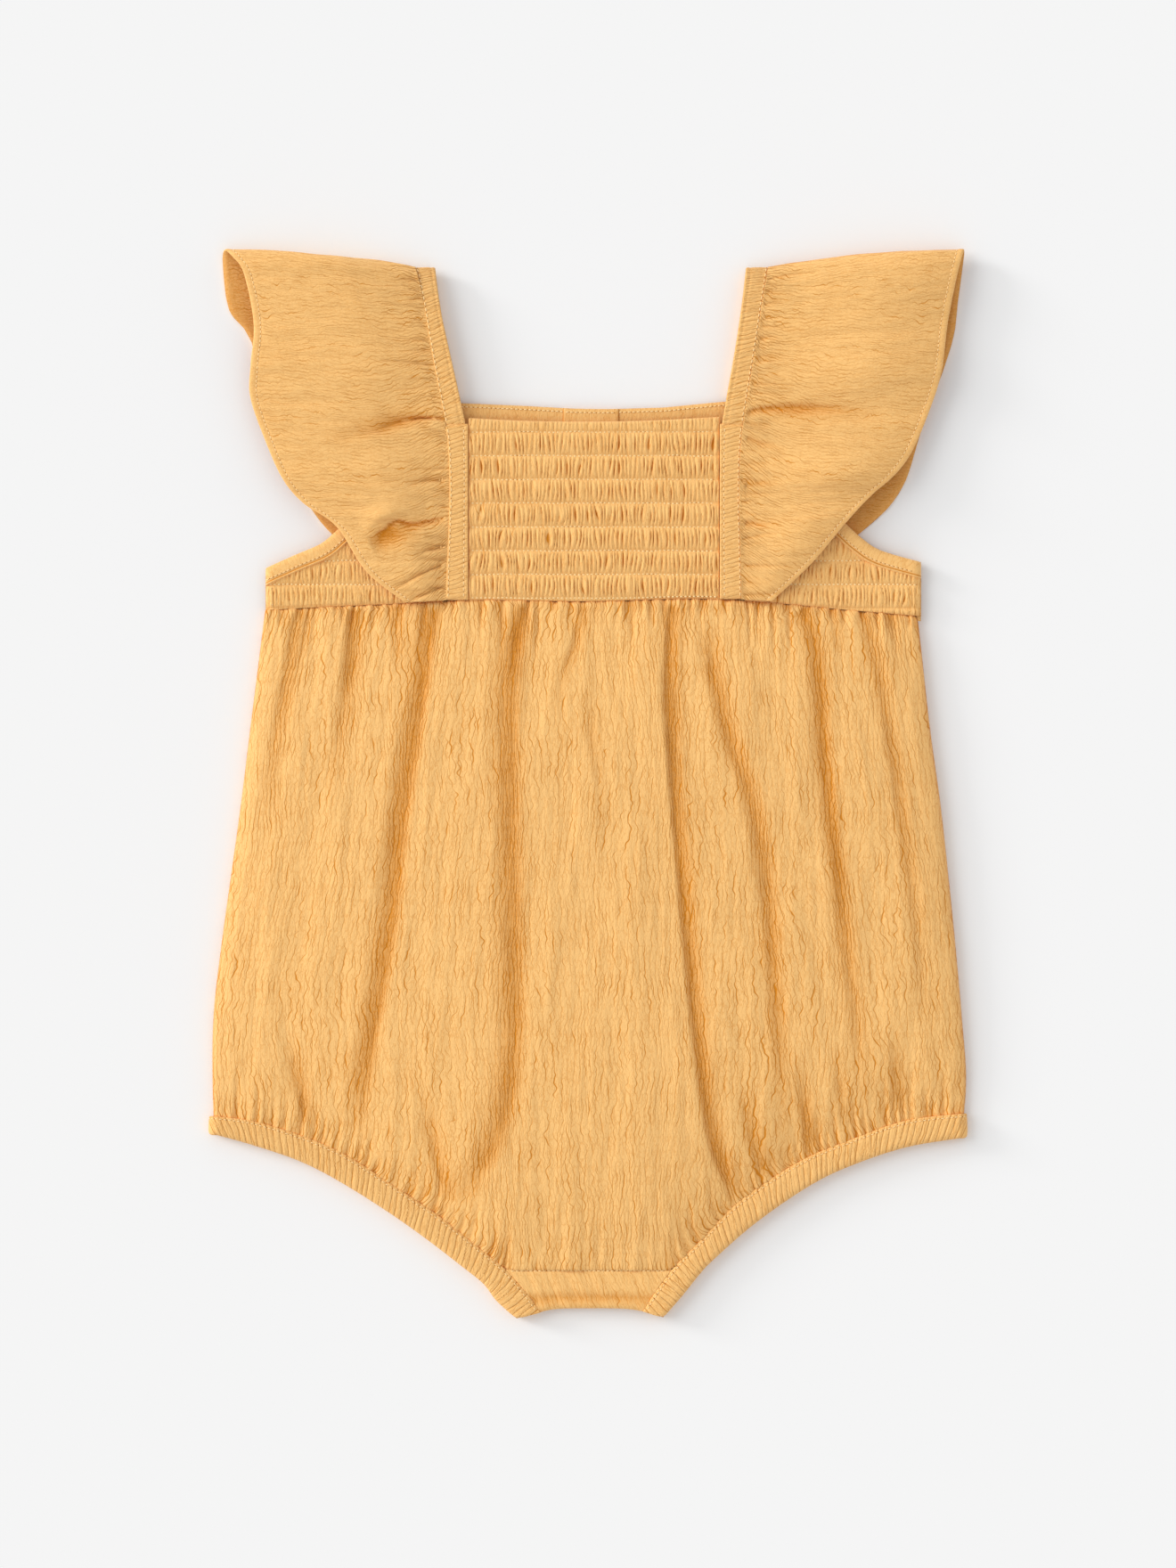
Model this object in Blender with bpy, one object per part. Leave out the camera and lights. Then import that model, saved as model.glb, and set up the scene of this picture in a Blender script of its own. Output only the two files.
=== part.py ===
"""Baby romper with flutter sleeves, laid flat on its back.

Every cut piece is a wall of cloth of its own, about 0.3 mm clear of the piece that it is sewn to.
X runs to the right across the garment, Y from the crotch to the shoulders and Z up from the floor.
Sizes and tables are in millimetres, and the model is in metres.
"""

import math
from collections import namedtuple

import bmesh
import bpy
import numpy as np
from mathutils import Vector

MM = 0.001
GARMENT = "baby_romper"

# Cloth and seams
CLOTH = 1.2
BODY_CLOTH = 1.4
DOUBLE_CLOTH = 2.2
SEAM_GAP = 0.3
SIDE_GAP = 0.4
LEG_GAP = 0.45

# Heights of the layers, from the floor up
BACK_BODICE_Z = CLOTH + SEAM_GAP
STUD_Z = BACK_BODICE_Z
INNER_PLACKET_Z = 2 * BACK_BODICE_Z
SIDE_SEAM_Z = 2 * BACK_BODICE_Z
SIDE_BAND_Z = 4.2
FRONT_Z = 4.5

# The bodice
CENTRE_LEFT, CENTRE_RIGHT = -44.6, 49.1
STRAP_JOINT_Y = 135.0
SIDE_EDGE_LEFT, SIDE_EDGE_RIGHT = -121.0, 125.0
BACK_LAP = 1.8
PLACKET_LEFT, PLACKET_RIGHT = -9.4, 11.7
PLACKET_LAP = 1.9
FACING_WIDTH = 5.5
FACING_CLOTH = 2.0

# Smocking: rows of elastic stitching with puffs of cloth between them
SMOCK_TOP_Y = 132.0
SMOCK_PITCH = 8.9
SMOCK_ROWS = 8
SMOCK_PUFF = 1.7
SIDE_PUFF = 1.1
CENTRE_PUFFS = 40
SIDE_PUFFS = 16

# The body
BODY_PUFF = 8.5
GATHER_HEIGHT = 0.9
GATHERS = 24
CROTCH_Y = -182.1
STUD_RADIUS = 3.5
STUD_SIDES = 16
CASING_GATHER = 0.45

# The edges of the garment, as (x, y) rows from left to right
WAIST = [(-121.3, 65.3), (-103.8, 66.2), (-70.3, 67.7), (-53.6, 68.7), (0, 68.5), (49.6, 69.3),
         (69.0, 68.0), (97.2, 65.3), (123.8, 63.0)]
ARMHOLE_LEFT = [(-121.0, 75.0), (-108.2, 80.7), (-97.5, 85.4), (-90.1, 91.5), (-80.0, 101.0),
                (-70.0, 112.0), (-62.0, 123.0), (-57.0, 130.6), (-54.0, 134.6)]
ARMHOLE_RIGHT = [(58.8, 134.6), (61.6, 130.6), (66.5, 123.0), (74.0, 112.0), (83.0, 102.0),
                 (92.5, 94.0), (99.2, 88.0), (107.9, 82.5), (125.0, 77.6)]
FRONT_NECK = [(-44.9, 137.3), (-26.8, 136.3), (0.0, 135.9), (19.8, 136.2), (49.9, 137.7)]
BACK_NECK = [(-53.9, 143.4), (-46.9, 143.0), (-23.5, 142.0), (-9.4, 141.2), (11.7, 140.9),
             (28.5, 141.4), (50.9, 143.6), (58.5, 144.0)]

# The side seams of the body and the outer edges of the straps, as (y, x) rows from the bottom up
SIDE_LEFT = [(-124.6, -140.7), (-113.9, -141.0), (-87.1, -140.7), (-60.3, -137.7), (-33.5, -134.0),
             (-6.7, -130.3), (20.1, -127.0), (46.9, -123.6), (65.3, -121.3)]
SIDE_RIGHT = [(-123.6, 141.3), (-113.9, 142.0), (-87.1, 140.4), (-60.3, 138.0), (-33.5, 135.3),
              (-6.7, 132.3), (20.1, 128.6), (46.9, 125.6), (63.0, 123.8)]
STRAP_LEFT = [(66.0, -53.2), (135.0, -53.6), (150.7, -56.6), (167.5, -59.6), (181.0, -61.9),
              (190.0, -63.9), (194.0, -65.2)]
STRAP_RIGHT = [(66.0, 57.8), (135.0, 58.4), (150.7, 60.9), (167.5, 63.6), (181.0, 65.6),
               (190.0, 67.2), (194.0, 68.0)]

# The edges of the straps toward the neck, as (y, x) rows from the bottom up
STRAP_NECK_LEFT = [(135.0, -45.9), (147.4, -48.6), (160.8, -51.6), (177.6, -55.2), (194.0, -57.5)]
STRAP_NECK_RIGHT = [(135.0, 50.2), (147.4, 52.4), (160.8, 54.8), (177.6, 57.4), (194.0, 59.4)]

# The body's folds: a trough through three places, its width and its depth
Fold = namedtuple("Fold", "top_x top_y middle_x middle_y end_x end_y width depth")
FOLDS = [
    Fold(-110.0, 66, -116.6, 22, -127.0, -49, 6.0, 3.0),
    Fold(-88.4, 68, -92.0, 26, -104.0, -29, 6.5, 3.6),
    Fold(-72.7, 68, -72.4, 57, -72.0, 42, 4.5, 2.2),
    Fold(-57.3, 68, -69.3, -13, -85.4, -130, 7.5, 4.6),
    Fold(-25.5, 70, -28.5, -45, -38.0, -160, 8.5, 5.4),
    Fold(-1.7, 70, -5.0, 51, -9.0, 34, 5.0, 2.2),
    Fold(30.0, 70, 35.0, -45, 55.0, -158, 8.5, 5.4),
    Fold(44.0, 60, 65.3, -26, 74.0, -138, 7.5, 4.4),
    Fold(79.7, 68, 90.0, -8, 105.5, -128, 7.5, 4.6),
    Fold(93.0, 67, 94.0, 56, 95.5, 44, 4.5, 2.2),
    Fold(103.2, 66, 119.9, -32, 130.0, -110, 6.0, 3.4),
    Fold(-112.0, -92, -109.0, -110, -104.0, -132, 5.0, 2.4),
    Fold(-62.0, -118, -57.0, -138, -51.0, -160, 5.0, 2.2),
    Fold(57.6, -118, 61.0, -131, 66.0, -150, 5.0, 2.4),
    Fold(78.7, -104, 81.0, -122, 84.0, -138, 5.0, 2.4),
    Fold(114.0, -98, 115.0, -110, 117.0, -126, 4.5, 2.0),
]

# The heights of the body's front edges above the floor, across the garment from 0 to 1
WAIST_HEIGHTS = [(0.0, SIDE_SEAM_Z), (0.27, SIDE_BAND_Z), (0.30, FRONT_Z), (0.70, FRONT_Z),
                 (0.73, SIDE_BAND_Z), (1.0, SIDE_SEAM_Z)]
LEG_HEIGHTS = [(0.0, 1.5), (0.06, 2.7), (0.38, 3.2), (0.62, 3.2), (0.94, 2.7), (1.0, 1.5)]

# A flutter sleeve, from the front of the waist over the shoulder to the back of the waist
Rib = namedtuple("Rib", "seam_y hem_x hem_y seam_z middle_z hem_z")
FLUTTER_LEFT = [
    Rib(69.6, -68.6, 68.4, 7.4, 7.4, 7.2),
    Rib(80.0, -83.0, 79.5, 7.6, 9.2, 8.0),
    Rib(90.0, -94.0, 96.2, 7.8, 11.0, 9.0),
    Rib(98.5, -106.6, 105.2, 7.6, 8.0, 7.2),
    Rib(108.0, -114.4, 114.4, 7.9, 11.8, 8.6),
    Rib(121.0, -121.0, 129.0, 8.2, 12.4, 7.8),
    Rib(136.0, -126.4, 145.0, 7.5, 7.9, 6.4),
    Rib(150.0, -126.0, 158.0, 8.2, 12.4, 8.0),
    Rib(166.0, -127.0, 174.0, 7.7, 9.6, 6.6),
    Rib(183.0, -131.5, 192.0, 7.5, 11.2, 7.4),
    Rib(190.5, -134.0, 197.6, 6.6, 9.2, 6.2),
    Rib(193.6, -136.5, 200.1, 3.9, 5.0, 3.6),
    Rib(190.0, -137.2, 194.5, 0.8, 0.8, 0.8),
    Rib(178.0, -134.8, 178.0, 0.6, 0.6, 0.6),
    Rib(165.0, -126.4, 166.0, 0.6, 0.6, 0.6),
    Rib(135.0, -119.0, 134.0, 0.6, 0.6, 0.6),
    Rib(100.0, -100.5, 98.5, 0.6, 0.6, 0.6),
    Rib(71.0, -69.0, 71.5, 0.6, 0.6, 0.6),
]
FLUTTER_RIGHT = [
    Rib(69.6, 69.0, 68.8, 7.4, 7.4, 7.2),
    Rib(81.0, 84.0, 83.0, 7.6, 9.4, 8.2),
    Rib(93.0, 96.0, 97.3, 7.8, 11.2, 9.0),
    Rib(104.0, 106.0, 108.0, 7.6, 8.8, 7.6),
    Rib(116.0, 114.6, 115.6, 8.0, 12.0, 8.4),
    Rib(127.0, 121.3, 124.6, 7.9, 10.4, 7.0),
    Rib(139.0, 128.3, 141.0, 7.5, 7.9, 6.4),
    Rib(152.0, 132.4, 155.0, 8.2, 12.4, 8.0),
    Rib(168.0, 134.6, 172.0, 7.7, 9.8, 6.6),
    Rib(183.0, 137.6, 188.0, 7.5, 11.4, 7.4),
    Rib(190.5, 140.0, 197.2, 6.6, 9.2, 6.2),
    Rib(193.6, 141.2, 200.1, 3.9, 5.0, 3.6),
    Rib(190.0, 140.8, 194.5, 0.8, 0.8, 0.8),
    Rib(180.0, 139.0, 181.0, 0.6, 0.6, 0.6),
    Rib(165.0, 136.6, 165.0, 0.6, 0.6, 0.6),
    Rib(135.0, 125.8, 134.6, 0.6, 0.6, 0.6),
    Rib(103.0, 113.0, 104.0, 0.6, 0.6, 0.6),
    Rib(71.0, 70.5, 71.5, 0.6, 0.6, 0.6),
]
SHOULDER_BOW, BOW_START, BOW_RISE = 1.5, 172.0, 18.0
FLUTTER_COLUMNS = 12

# A strap, from the front band over the shoulder to the top of the back
Stretch = namedtuple("Stretch", "y z")
STRAP = [Stretch(135.3, 5.6), Stretch(150.0, 5.9), Stretch(165.0, 6.0), Stretch(178.0, 5.8),
         Stretch(188.0, 5.2), Stretch(192.6, 3.3), Stretch(188.0, 1.1), Stretch(165.0, 1.1),
         Stretch(144.6, 1.1)]

# A leg casing, from the front of the crotch to the side seam
Band = namedtuple("Band", "inner_x inner_y outer_x outer_y")
CASING_LEFT = [
    Band(-17.8, -198.3, -26.8, -200.7),
    Band(-23.5, -190.3, -34.3, -194.0),
    Band(-31.5, -181.6, -39.2, -187.6),
    Band(-40.9, -173.9, -47.1, -181.2),
    Band(-55.3, -162.5, -61.0, -170.5),
    Band(-71.7, -151.4, -76.7, -159.5),
    Band(-91.1, -139.0, -95.1, -148.1),
    Band(-106.5, -132.3, -109.5, -141.0),
    Band(-125.0, -126.6, -126.8, -135.2),
    Band(-138.8, -124.8, -139.0, -131.8),
]
CASING_RIGHT = [
    Band(20.1, -196.6, 28.2, -200.2),
    Band(26.1, -189.3, 35.6, -191.8),
    Band(33.2, -180.2, 41.7, -184.2),
    Band(40.9, -172.5, 47.2, -178.4),
    Band(57.6, -155.8, 63.3, -164.4),
    Band(79.7, -141.4, 84.1, -150.2),
    Band(97.8, -133.7, 100.8, -142.4),
    Band(118.9, -126.3, 119.9, -136.2),
    Band(138.8, -123.8, 139.0, -133.0),
]
CASING_FRONT_Z = 3.7
CASING_BACK_Z = 1.1
CASING_FOLD = 2.3
CASING_STEPS = 4
FOLD_STEPS = 4
CORNER_LEFT, CORNER_RIGHT = (-140.7, -124.6), (141.0, -123.6)
CROTCH_LINE = [(-28.0, -182.2), (30.0, -182.2)]

# The crotch flaps and the press studs
FLAP_LOW_Y = -197.2
FLAP_BACK_CLOTH = 1.2
FLAP_FRONT_Z = 3.0
FLAP_FRONT_CLOTH = 1.8
STUD_THICK = 1.2
CROTCH_STUDS = [(-15.0, -189.5), (0.8, -189.5), (16.6, -189.5)]
BACK_STUDS = [(1.15, 82.0), (1.15, 107.0), (1.15, 132.0)]

# Colours of the cloth, sRGB from 0 to 255
MUSTARD = (243, 190, 121)
SHADED = (236, 181, 110)
INSIDE = (228, 172, 105)
METAL = (190, 190, 188)


def clear_scene():
    for thing in list(bpy.data.objects):
        bpy.data.objects.remove(thing, do_unlink=True)


def linear(colour):
    shares = [part / 255 for part in colour]
    return tuple(s / 12.92 if s <= 0.04045 else ((s + 0.055) / 1.055) ** 2.4 for s in shares)


def finish(name, colour, roughness, metallic):
    material = bpy.data.materials.new(name)
    material.use_nodes = True
    shader = material.node_tree.nodes["Principled BSDF"]
    shader.inputs["Base Color"].default_value = (*linear(colour), 1.0)
    shader.inputs["Roughness"].default_value = roughness
    shader.inputs["Metallic"].default_value = metallic
    return material


def read(table, x):
    """The value at x of a table of (x, value) rows, in straight runs."""
    return float(np.interp(x, [row[0] for row in table], [row[1] for row in table]))


def mix(start, end, share):
    return start + (end - start) * share


def along(rows, t):
    """The row at t, from 0 to 1, on a smooth curve through a table's rows."""
    last = len(rows) - 1
    place = min(max(t, 0.0), 1.0) * last
    first = min(int(place), last - 1)
    f = place - first
    near = [rows[min(max(first + step, 0), last)] for step in (-1, 0, 1, 2)]
    return [
        0.5 * (2 * b + (c - a) * f + (2 * a - 5 * b + 4 * c - d) * f**2 + (3 * b - a - 3 * c + d) * f**3)
        for a, b, c, d in zip(*near)
    ]


def curve_through(rows, pieces):
    """Places on the smooth curve through a table's rows, with so many pieces between two rows."""
    count = pieces * (len(rows) - 1)
    return [along(rows, step / count) for step in range(count + 1)]


def is_low(face):
    return all(vertex.co.z < 0.5 for vertex in face.verts)


def is_high(face):
    return all(vertex.co.z > 0.5 for vertex in face.verts)


def wall(name, columns, rows, place, colour, plain_inside=False, plain_outside=False):
    """A closed wall of cloth. place(u, v, w) puts a point across, along and through it, each from 0 to 1."""
    bm = bmesh.new()
    bmesh.ops.create_grid(bm, x_segments=columns, y_segments=rows, size=0.5)
    grown = bmesh.ops.extrude_face_region(bm, geom=bm.faces[:], use_keep_orig=True)
    for part in grown["geom"]:
        if isinstance(part, bmesh.types.BMVert):
            part.co.z = 1.0
    if plain_inside:
        bmesh.ops.dissolve_faces(bm, faces=[face for face in bm.faces if is_low(face)])
    if plain_outside:
        bmesh.ops.dissolve_faces(bm, faces=[face for face in bm.faces if is_high(face)])
    for vertex in bm.verts:
        u, v, w = vertex.co.x + 0.5, vertex.co.y + 0.5, vertex.co.z
        vertex.co = Vector(place(u, v, w)) * MM
    bmesh.ops.recalc_face_normals(bm, faces=bm.faces[:])
    if bm.calc_volume(signed=True) < 0:
        bmesh.ops.reverse_faces(bm, faces=bm.faces[:])
    return add_piece(name, bm, colour)


def add_piece(name, bm, colour, roughness=0.9, metallic=0.0):
    mesh = bpy.data.meshes.new(name)
    bm.to_mesh(mesh)
    bm.free()
    mesh.materials.append(finish(name, colour, roughness, metallic))
    mesh.shade_smooth()
    mesh.set_sharp_from_angle(angle=math.radians(50))
    piece = bpy.data.objects.new(name, mesh)
    bpy.data.collections[GARMENT].objects.link(piece)
    return piece


def laid(plan, under, thickness):
    """A wall whose outline is plan(u, v), lying at the height under(x, y)."""

    def place(u, v, w):
        x, y = plan(u, v)
        return x, y, under(x, y) + thickness * w

    return place


def turned(surface, thickness, outer=None):
    """A wall of even thickness about surface(u, v), so that it can fold over. outer(u, v) raises its outer face."""
    step = 0.002

    def place(u, v, w):
        across = surface(min(u + step, 1), v) - surface(max(u - step, 0), v)
        length = surface(u, min(v + step, 1)) - surface(u, max(v - step, 0))
        raised = outer(u, v) if outer and w > 0.5 else 0.0
        return surface(u, v) + across.cross(length).normalized() * (thickness * (w - 0.5) + raised)

    return place


# The body ------------------------------------------------------------------------------------------


def leg_line():
    """The lower edge of the body, along the inner edges of the casings and across the crotch."""
    left = [row[:2] for row in curve_through(CASING_LEFT, CASING_STEPS) if row[1] > CROTCH_LINE[0][1]]
    right = [row[:2] for row in curve_through(CASING_RIGHT, CASING_STEPS) if row[1] > CROTCH_LINE[0][1]]
    return [CORNER_LEFT, *reversed(left), *CROTCH_LINE, *right, CORNER_RIGHT]


LEG_LINE = leg_line()


def body_plan(u, v):
    top_x = mix(WAIST[0][0], WAIST[-1][0], u)
    low_x = mix(CORNER_LEFT[0], CORNER_RIGHT[0], u)
    low_y = read(LEG_LINE, low_x) + LEG_GAP
    y = mix(low_y, read(WAIST, top_x) - SEAM_GAP, v)
    return mix(read(SIDE_LEFT, y), read(SIDE_RIGHT, y), u), y


def fold_depth(fold, x, y):
    """How far a fold pulls the cloth down at x, y."""
    if not fold.end_y < y < fold.top_y:
        return 0.0
    t = (fold.top_y - y) / (fold.top_y - fold.end_y)
    bend = (fold.top_y - fold.middle_y) / (fold.top_y - fold.end_y)
    pull = (fold.middle_x - mix(fold.top_x, fold.end_x, bend)) / (bend * (1 - bend))
    centre = mix(fold.top_x, fold.end_x, t) + pull * t * (1 - t)
    fade = min(1.0, 6 * t, 3 * (1 - t))
    return fold.depth * fade * math.exp(-(((x - centre) / fold.width) ** 2))


def body_height(u, v):
    """The underside of the front: raised where it is gathered, low at the seams and in the folds."""
    x, y = body_plan(u, v)
    rest = mix(read(LEG_HEIGHTS, u), read(WAIST_HEIGHTS, u), v**6)
    puff = BODY_PUFF * (1 - (2 * u - 1) ** 4) * (1 - (2 * v - 1) ** 4)
    sunk = sum(fold_depth(fold, x, y) for fold in FOLDS) * min(1.0, 10 * min(v, 1 - v) + 0.15)
    inside = min(1.0, 12 * u, 12 * (1 - u))
    edge = math.exp(-12 * (1 - v)) + 0.8 * math.exp(-14 * v)
    gather = GATHER_HEIGHT * inside * edge * (0.5 - 0.5 * math.cos(2 * math.pi * GATHERS * u))
    return max(rest + puff + gather - sunk, min(rest, BACK_BODICE_Z + 1.0), BACK_BODICE_Z)


def make_body():
    def front(u, v, w):
        x, y = body_plan(u, v)
        return x, y, body_height(u, v) + BODY_CLOTH * w

    wall("body_front", 2 * GATHERS, 15, front, MUSTARD)
    back = laid(body_plan, lambda x, y: 0.0, CLOTH)
    wall("body_back", 32, 8, back, SHADED, plain_inside=True, plain_outside=True)


def make_leg_casing(name, bands):
    """A gathered casing: along the front of the leg, round the side seam and back under itself."""
    outward = 1 if bands[-1].inner_x > 0 else -1
    front = curve_through(bands, CASING_STEPS)
    back = front[::-2]
    middle_z = (CASING_FRONT_Z + CASING_BACK_Z) / 2
    sections = [(*band, CASING_FRONT_Z) for band in front]
    for step in range(1, FOLD_STEPS):
        angle = math.pi * step / FOLD_STEPS
        out = outward * CASING_FOLD * math.sin(angle)
        inner_x, inner_y, outer_x, outer_y = front[-1]
        z = middle_z + (CASING_FRONT_Z - middle_z) * math.cos(angle)
        sections.append((inner_x + out, inner_y, outer_x + out, outer_y, z))
    sections += [(*band, CASING_BACK_Z) for band in back]
    columns = len(sections) - 1

    def surface(u, v):
        place = columns * u
        first = min(int(place), columns - 1)
        near = zip(sections[first], sections[first + 1])
        inner_x, inner_y, outer_x, outer_y, z = (mix(a, b, place - first) for a, b in near)
        across = v if outward > 0 else 1 - v
        return Vector((mix(outer_x, inner_x, across), mix(outer_y, inner_y, across), z))

    def gather(u, v):
        spot = round(columns * u)
        return CASING_GATHER * (spot % 2) if spot < len(front) - 1 else 0.0

    wall(name, columns, 2, turned(surface, DOUBLE_CLOTH, gather), MUSTARD)


def flap_plan(u, v):
    """The crotch flap fills the space between the ends of the two casings."""
    y = mix(FLAP_LOW_Y, CROTCH_Y, v)
    edges = [
        read([(row[1], row[0]) for row in curve_through(bands, CASING_STEPS)], y)
        for bands in (CASING_LEFT, CASING_RIGHT)
    ]
    return mix(edges[0] + SIDE_GAP, edges[1] - SIDE_GAP, u), y


def make_stud(name, x, y):
    bm = bmesh.new()
    bmesh.ops.create_cone(
        bm, cap_ends=True, segments=STUD_SIDES, radius1=STUD_RADIUS * MM, radius2=STUD_RADIUS * MM,
        depth=STUD_THICK * MM,
    )
    bmesh.ops.translate(bm, verts=bm.verts[:], vec=Vector((x, y, STUD_Z + STUD_THICK / 2)) * MM)
    add_piece(name, bm, METAL, 0.35, 1.0)


def make_crotch():
    back = laid(flap_plan, lambda x, y: 0.0, FLAP_BACK_CLOTH)
    front = laid(flap_plan, lambda x, y: FLAP_FRONT_Z, FLAP_FRONT_CLOTH)
    wall("crotch_flap_back", 2, 4, back, SHADED)
    wall("crotch_flap_front", 2, 4, front, MUSTARD)
    for number, (x, y) in enumerate(CROTCH_STUDS, 1):
        make_stud(f"crotch_stud_{number}", x, y)


# The bodice ----------------------------------------------------------------------------------------


def smock_relief(y, phase, height):
    """How far a puff stands up: nothing on a row of stitching, and in turn on either side of a row."""
    place = (SMOCK_TOP_Y - y) / SMOCK_PITCH
    band = math.floor(place)
    swell = math.sin(math.pi * (place - band))
    crest = 0.5 - 0.5 * math.cos(2 * math.pi * (phase + 0.5 * (band % 2)))
    return height * swell * (0.35 + 0.65 * crest)


def make_centre_front():
    rows = 2 * SMOCK_ROWS

    def place(u, v, w):
        x = mix(CENTRE_LEFT, CENTRE_RIGHT, u)
        low, high = read(WAIST, x), read(FRONT_NECK, x)
        stitched = SMOCK_TOP_Y - SMOCK_PITCH * (SMOCK_ROWS - 1)
        line = v * rows
        if line <= rows - 1:
            y = max(stitched + SMOCK_PITCH / 2 * (line - 1), low)
        else:
            y = high
        if line < 0.5:
            y = low
        relief = smock_relief(y, CENTRE_PUFFS * u, SMOCK_PUFF) if line > 0.5 else 0.0
        return x, y, FRONT_Z + w * (CLOTH + relief)

    wall("bodice_front", 2 * CENTRE_PUFFS, rows, place, SHADED, plain_inside=True)


def side_underside(x):
    """The height of a side front: high at the band, low at the side seam."""
    edge, band = (SIDE_EDGE_LEFT, -53.0) if x < 0 else (SIDE_EDGE_RIGHT, 57.0)
    return mix(SIDE_SEAM_Z, SIDE_BAND_Z, (x - edge) / (band - edge))


def make_side_front(name, armhole):
    edge = curve_through(armhole, 2 * SIDE_PUFFS // (len(armhole) - 1))
    columns = len(edge) - 1

    def place(u, v, w):
        x, high = edge[round(columns * u)]
        y = mix(read(WAIST, x), high - SEAM_GAP, v)
        relief = smock_relief(y, columns / 2 * u, SIDE_PUFF)
        return x, y, side_underside(x) + w * (CLOTH + relief)

    wall(name, columns, 7, place, SHADED, plain_inside=True)


def make_facings(side, armhole, strap_table):
    """The strips round an armhole, sewn to the edges of the front and of the back."""
    edge = curve_through(armhole, 2)
    columns = len(edge) - 1

    def plan(u, v):
        spot = round(columns * u)
        x, y = edge[spot]
        before, after = edge[max(spot - 1, 0)], edge[min(spot + 1, columns)]
        normal = Vector((before[1] - after[1], after[0] - before[0])).normalized()
        out_x, out_y = x + normal.x * FACING_WIDTH * v, y + normal.y * FACING_WIDTH * v
        strap_x = read(strap_table, out_y)
        if strap_x < 0:
            return max(SIDE_EDGE_LEFT, min(out_x, strap_x - SIDE_GAP)), out_y
        return min(SIDE_EDGE_RIGHT, max(out_x, strap_x + SIDE_GAP)), out_y

    front = laid(plan, lambda x, y: side_underside(x), FACING_CLOTH)
    back = laid(plan, lambda x, y: BACK_BODICE_Z, CLOTH)
    wall(f"armhole_facing_front_{side}", columns, 1, front, MUSTARD)
    wall(f"armhole_facing_back_{side}", columns, 1, back, SHADED)


def make_band(name, strap_table, neck_x):
    """A front band, from the waist to the strap."""

    def plan(u, v):
        y = mix(read(WAIST, neck_x), STRAP_JOINT_Y - SEAM_GAP, v)
        return mix(read(strap_table, y), neck_x, u), y

    wall(name, 2, 8, laid(plan, lambda x, y: FRONT_Z, DOUBLE_CLOTH), MUSTARD)


def make_strap(name, strap_table, neck_table):
    """A strap, over the shoulder from the front band to the top of the back."""

    def surface(u, v):
        y, z = along(STRAP, v)
        left, right = sorted((read(strap_table, y), read(neck_table, y)))
        return Vector((mix(left, right, u), y, max(z, STRAP[-1].z)))

    wall(name, 2, 3 * (len(STRAP) - 1), turned(surface, DOUBLE_CLOTH), MUSTARD)


def make_flutter(name, strap_table, ribs):
    toward = 1 if strap_table[0][1] > 0 else -1

    def surface(u, v):
        seam_y, hem_x, hem_y, seam_z, middle_z, hem_z = along(ribs, v)
        seam_x = read(strap_table, seam_y) + SIDE_GAP * toward
        r = 1 - u if toward < 0 else u
        z = seam_z * (1 - r) * (1 - 2 * r) + middle_z * 4 * r * (1 - r) + hem_z * r * (2 * r - 1)
        bow = SHOULDER_BOW * min(1.0, max(0.0, (seam_y - BOW_START) / BOW_RISE))
        y = mix(seam_y, hem_y, r) + bow * 4 * r * (1 - r)
        return Vector((mix(seam_x, hem_x, r), y, max(z, CLOTH / 2)))

    wall(name, FLUTTER_COLUMNS, 2 * (len(ribs) - 1), turned(surface, CLOTH), MUSTARD)


def make_back_bodice(name, armhole, placket_x):
    """Half of the back: from the side seam to the placket, under the armhole and the strap."""
    neck = [(x, y) for x, y in BACK_NECK if abs(x) > abs(placket_x) and x * placket_x > 0]
    neck.append((placket_x, read(BACK_NECK, placket_x)))
    edge = [(x, y - SEAM_GAP) for x, y in curve_through(armhole, 2)]
    edge = sorted(edge + neck)
    columns = len(edge) - 1

    def plan(u, v):
        x, high = edge[round(columns * u)]
        return x, mix(read(WAIST, x) - BACK_LAP, high, v)

    wall(name, columns, 1, laid(plan, lambda x, y: BACK_BODICE_Z, CLOTH), INSIDE,
         plain_inside=True, plain_outside=True)


def make_placket():
    """The two strips of the back opening, one on each side of the back, with the studs between them."""

    def strip(low_y):
        def plan(u, v):
            x = mix(PLACKET_LEFT, PLACKET_RIGHT, u)
            return x, mix(low_y, read(BACK_NECK, x), v)

        return plan

    waist = read(WAIST, 0)
    outer = laid(strip(waist + SEAM_GAP), lambda x, y: 0.0, CLOTH)
    inner = laid(strip(waist - BACK_LAP), lambda x, y: INNER_PLACKET_Z, CLOTH)
    wall("back_placket_outer", 1, 1, outer, SHADED)
    wall("back_placket_inner", 1, 1, inner, INSIDE)
    for number, (x, y) in enumerate(BACK_STUDS, 1):
        make_stud(f"back_stud_{number}", x, y)


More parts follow.
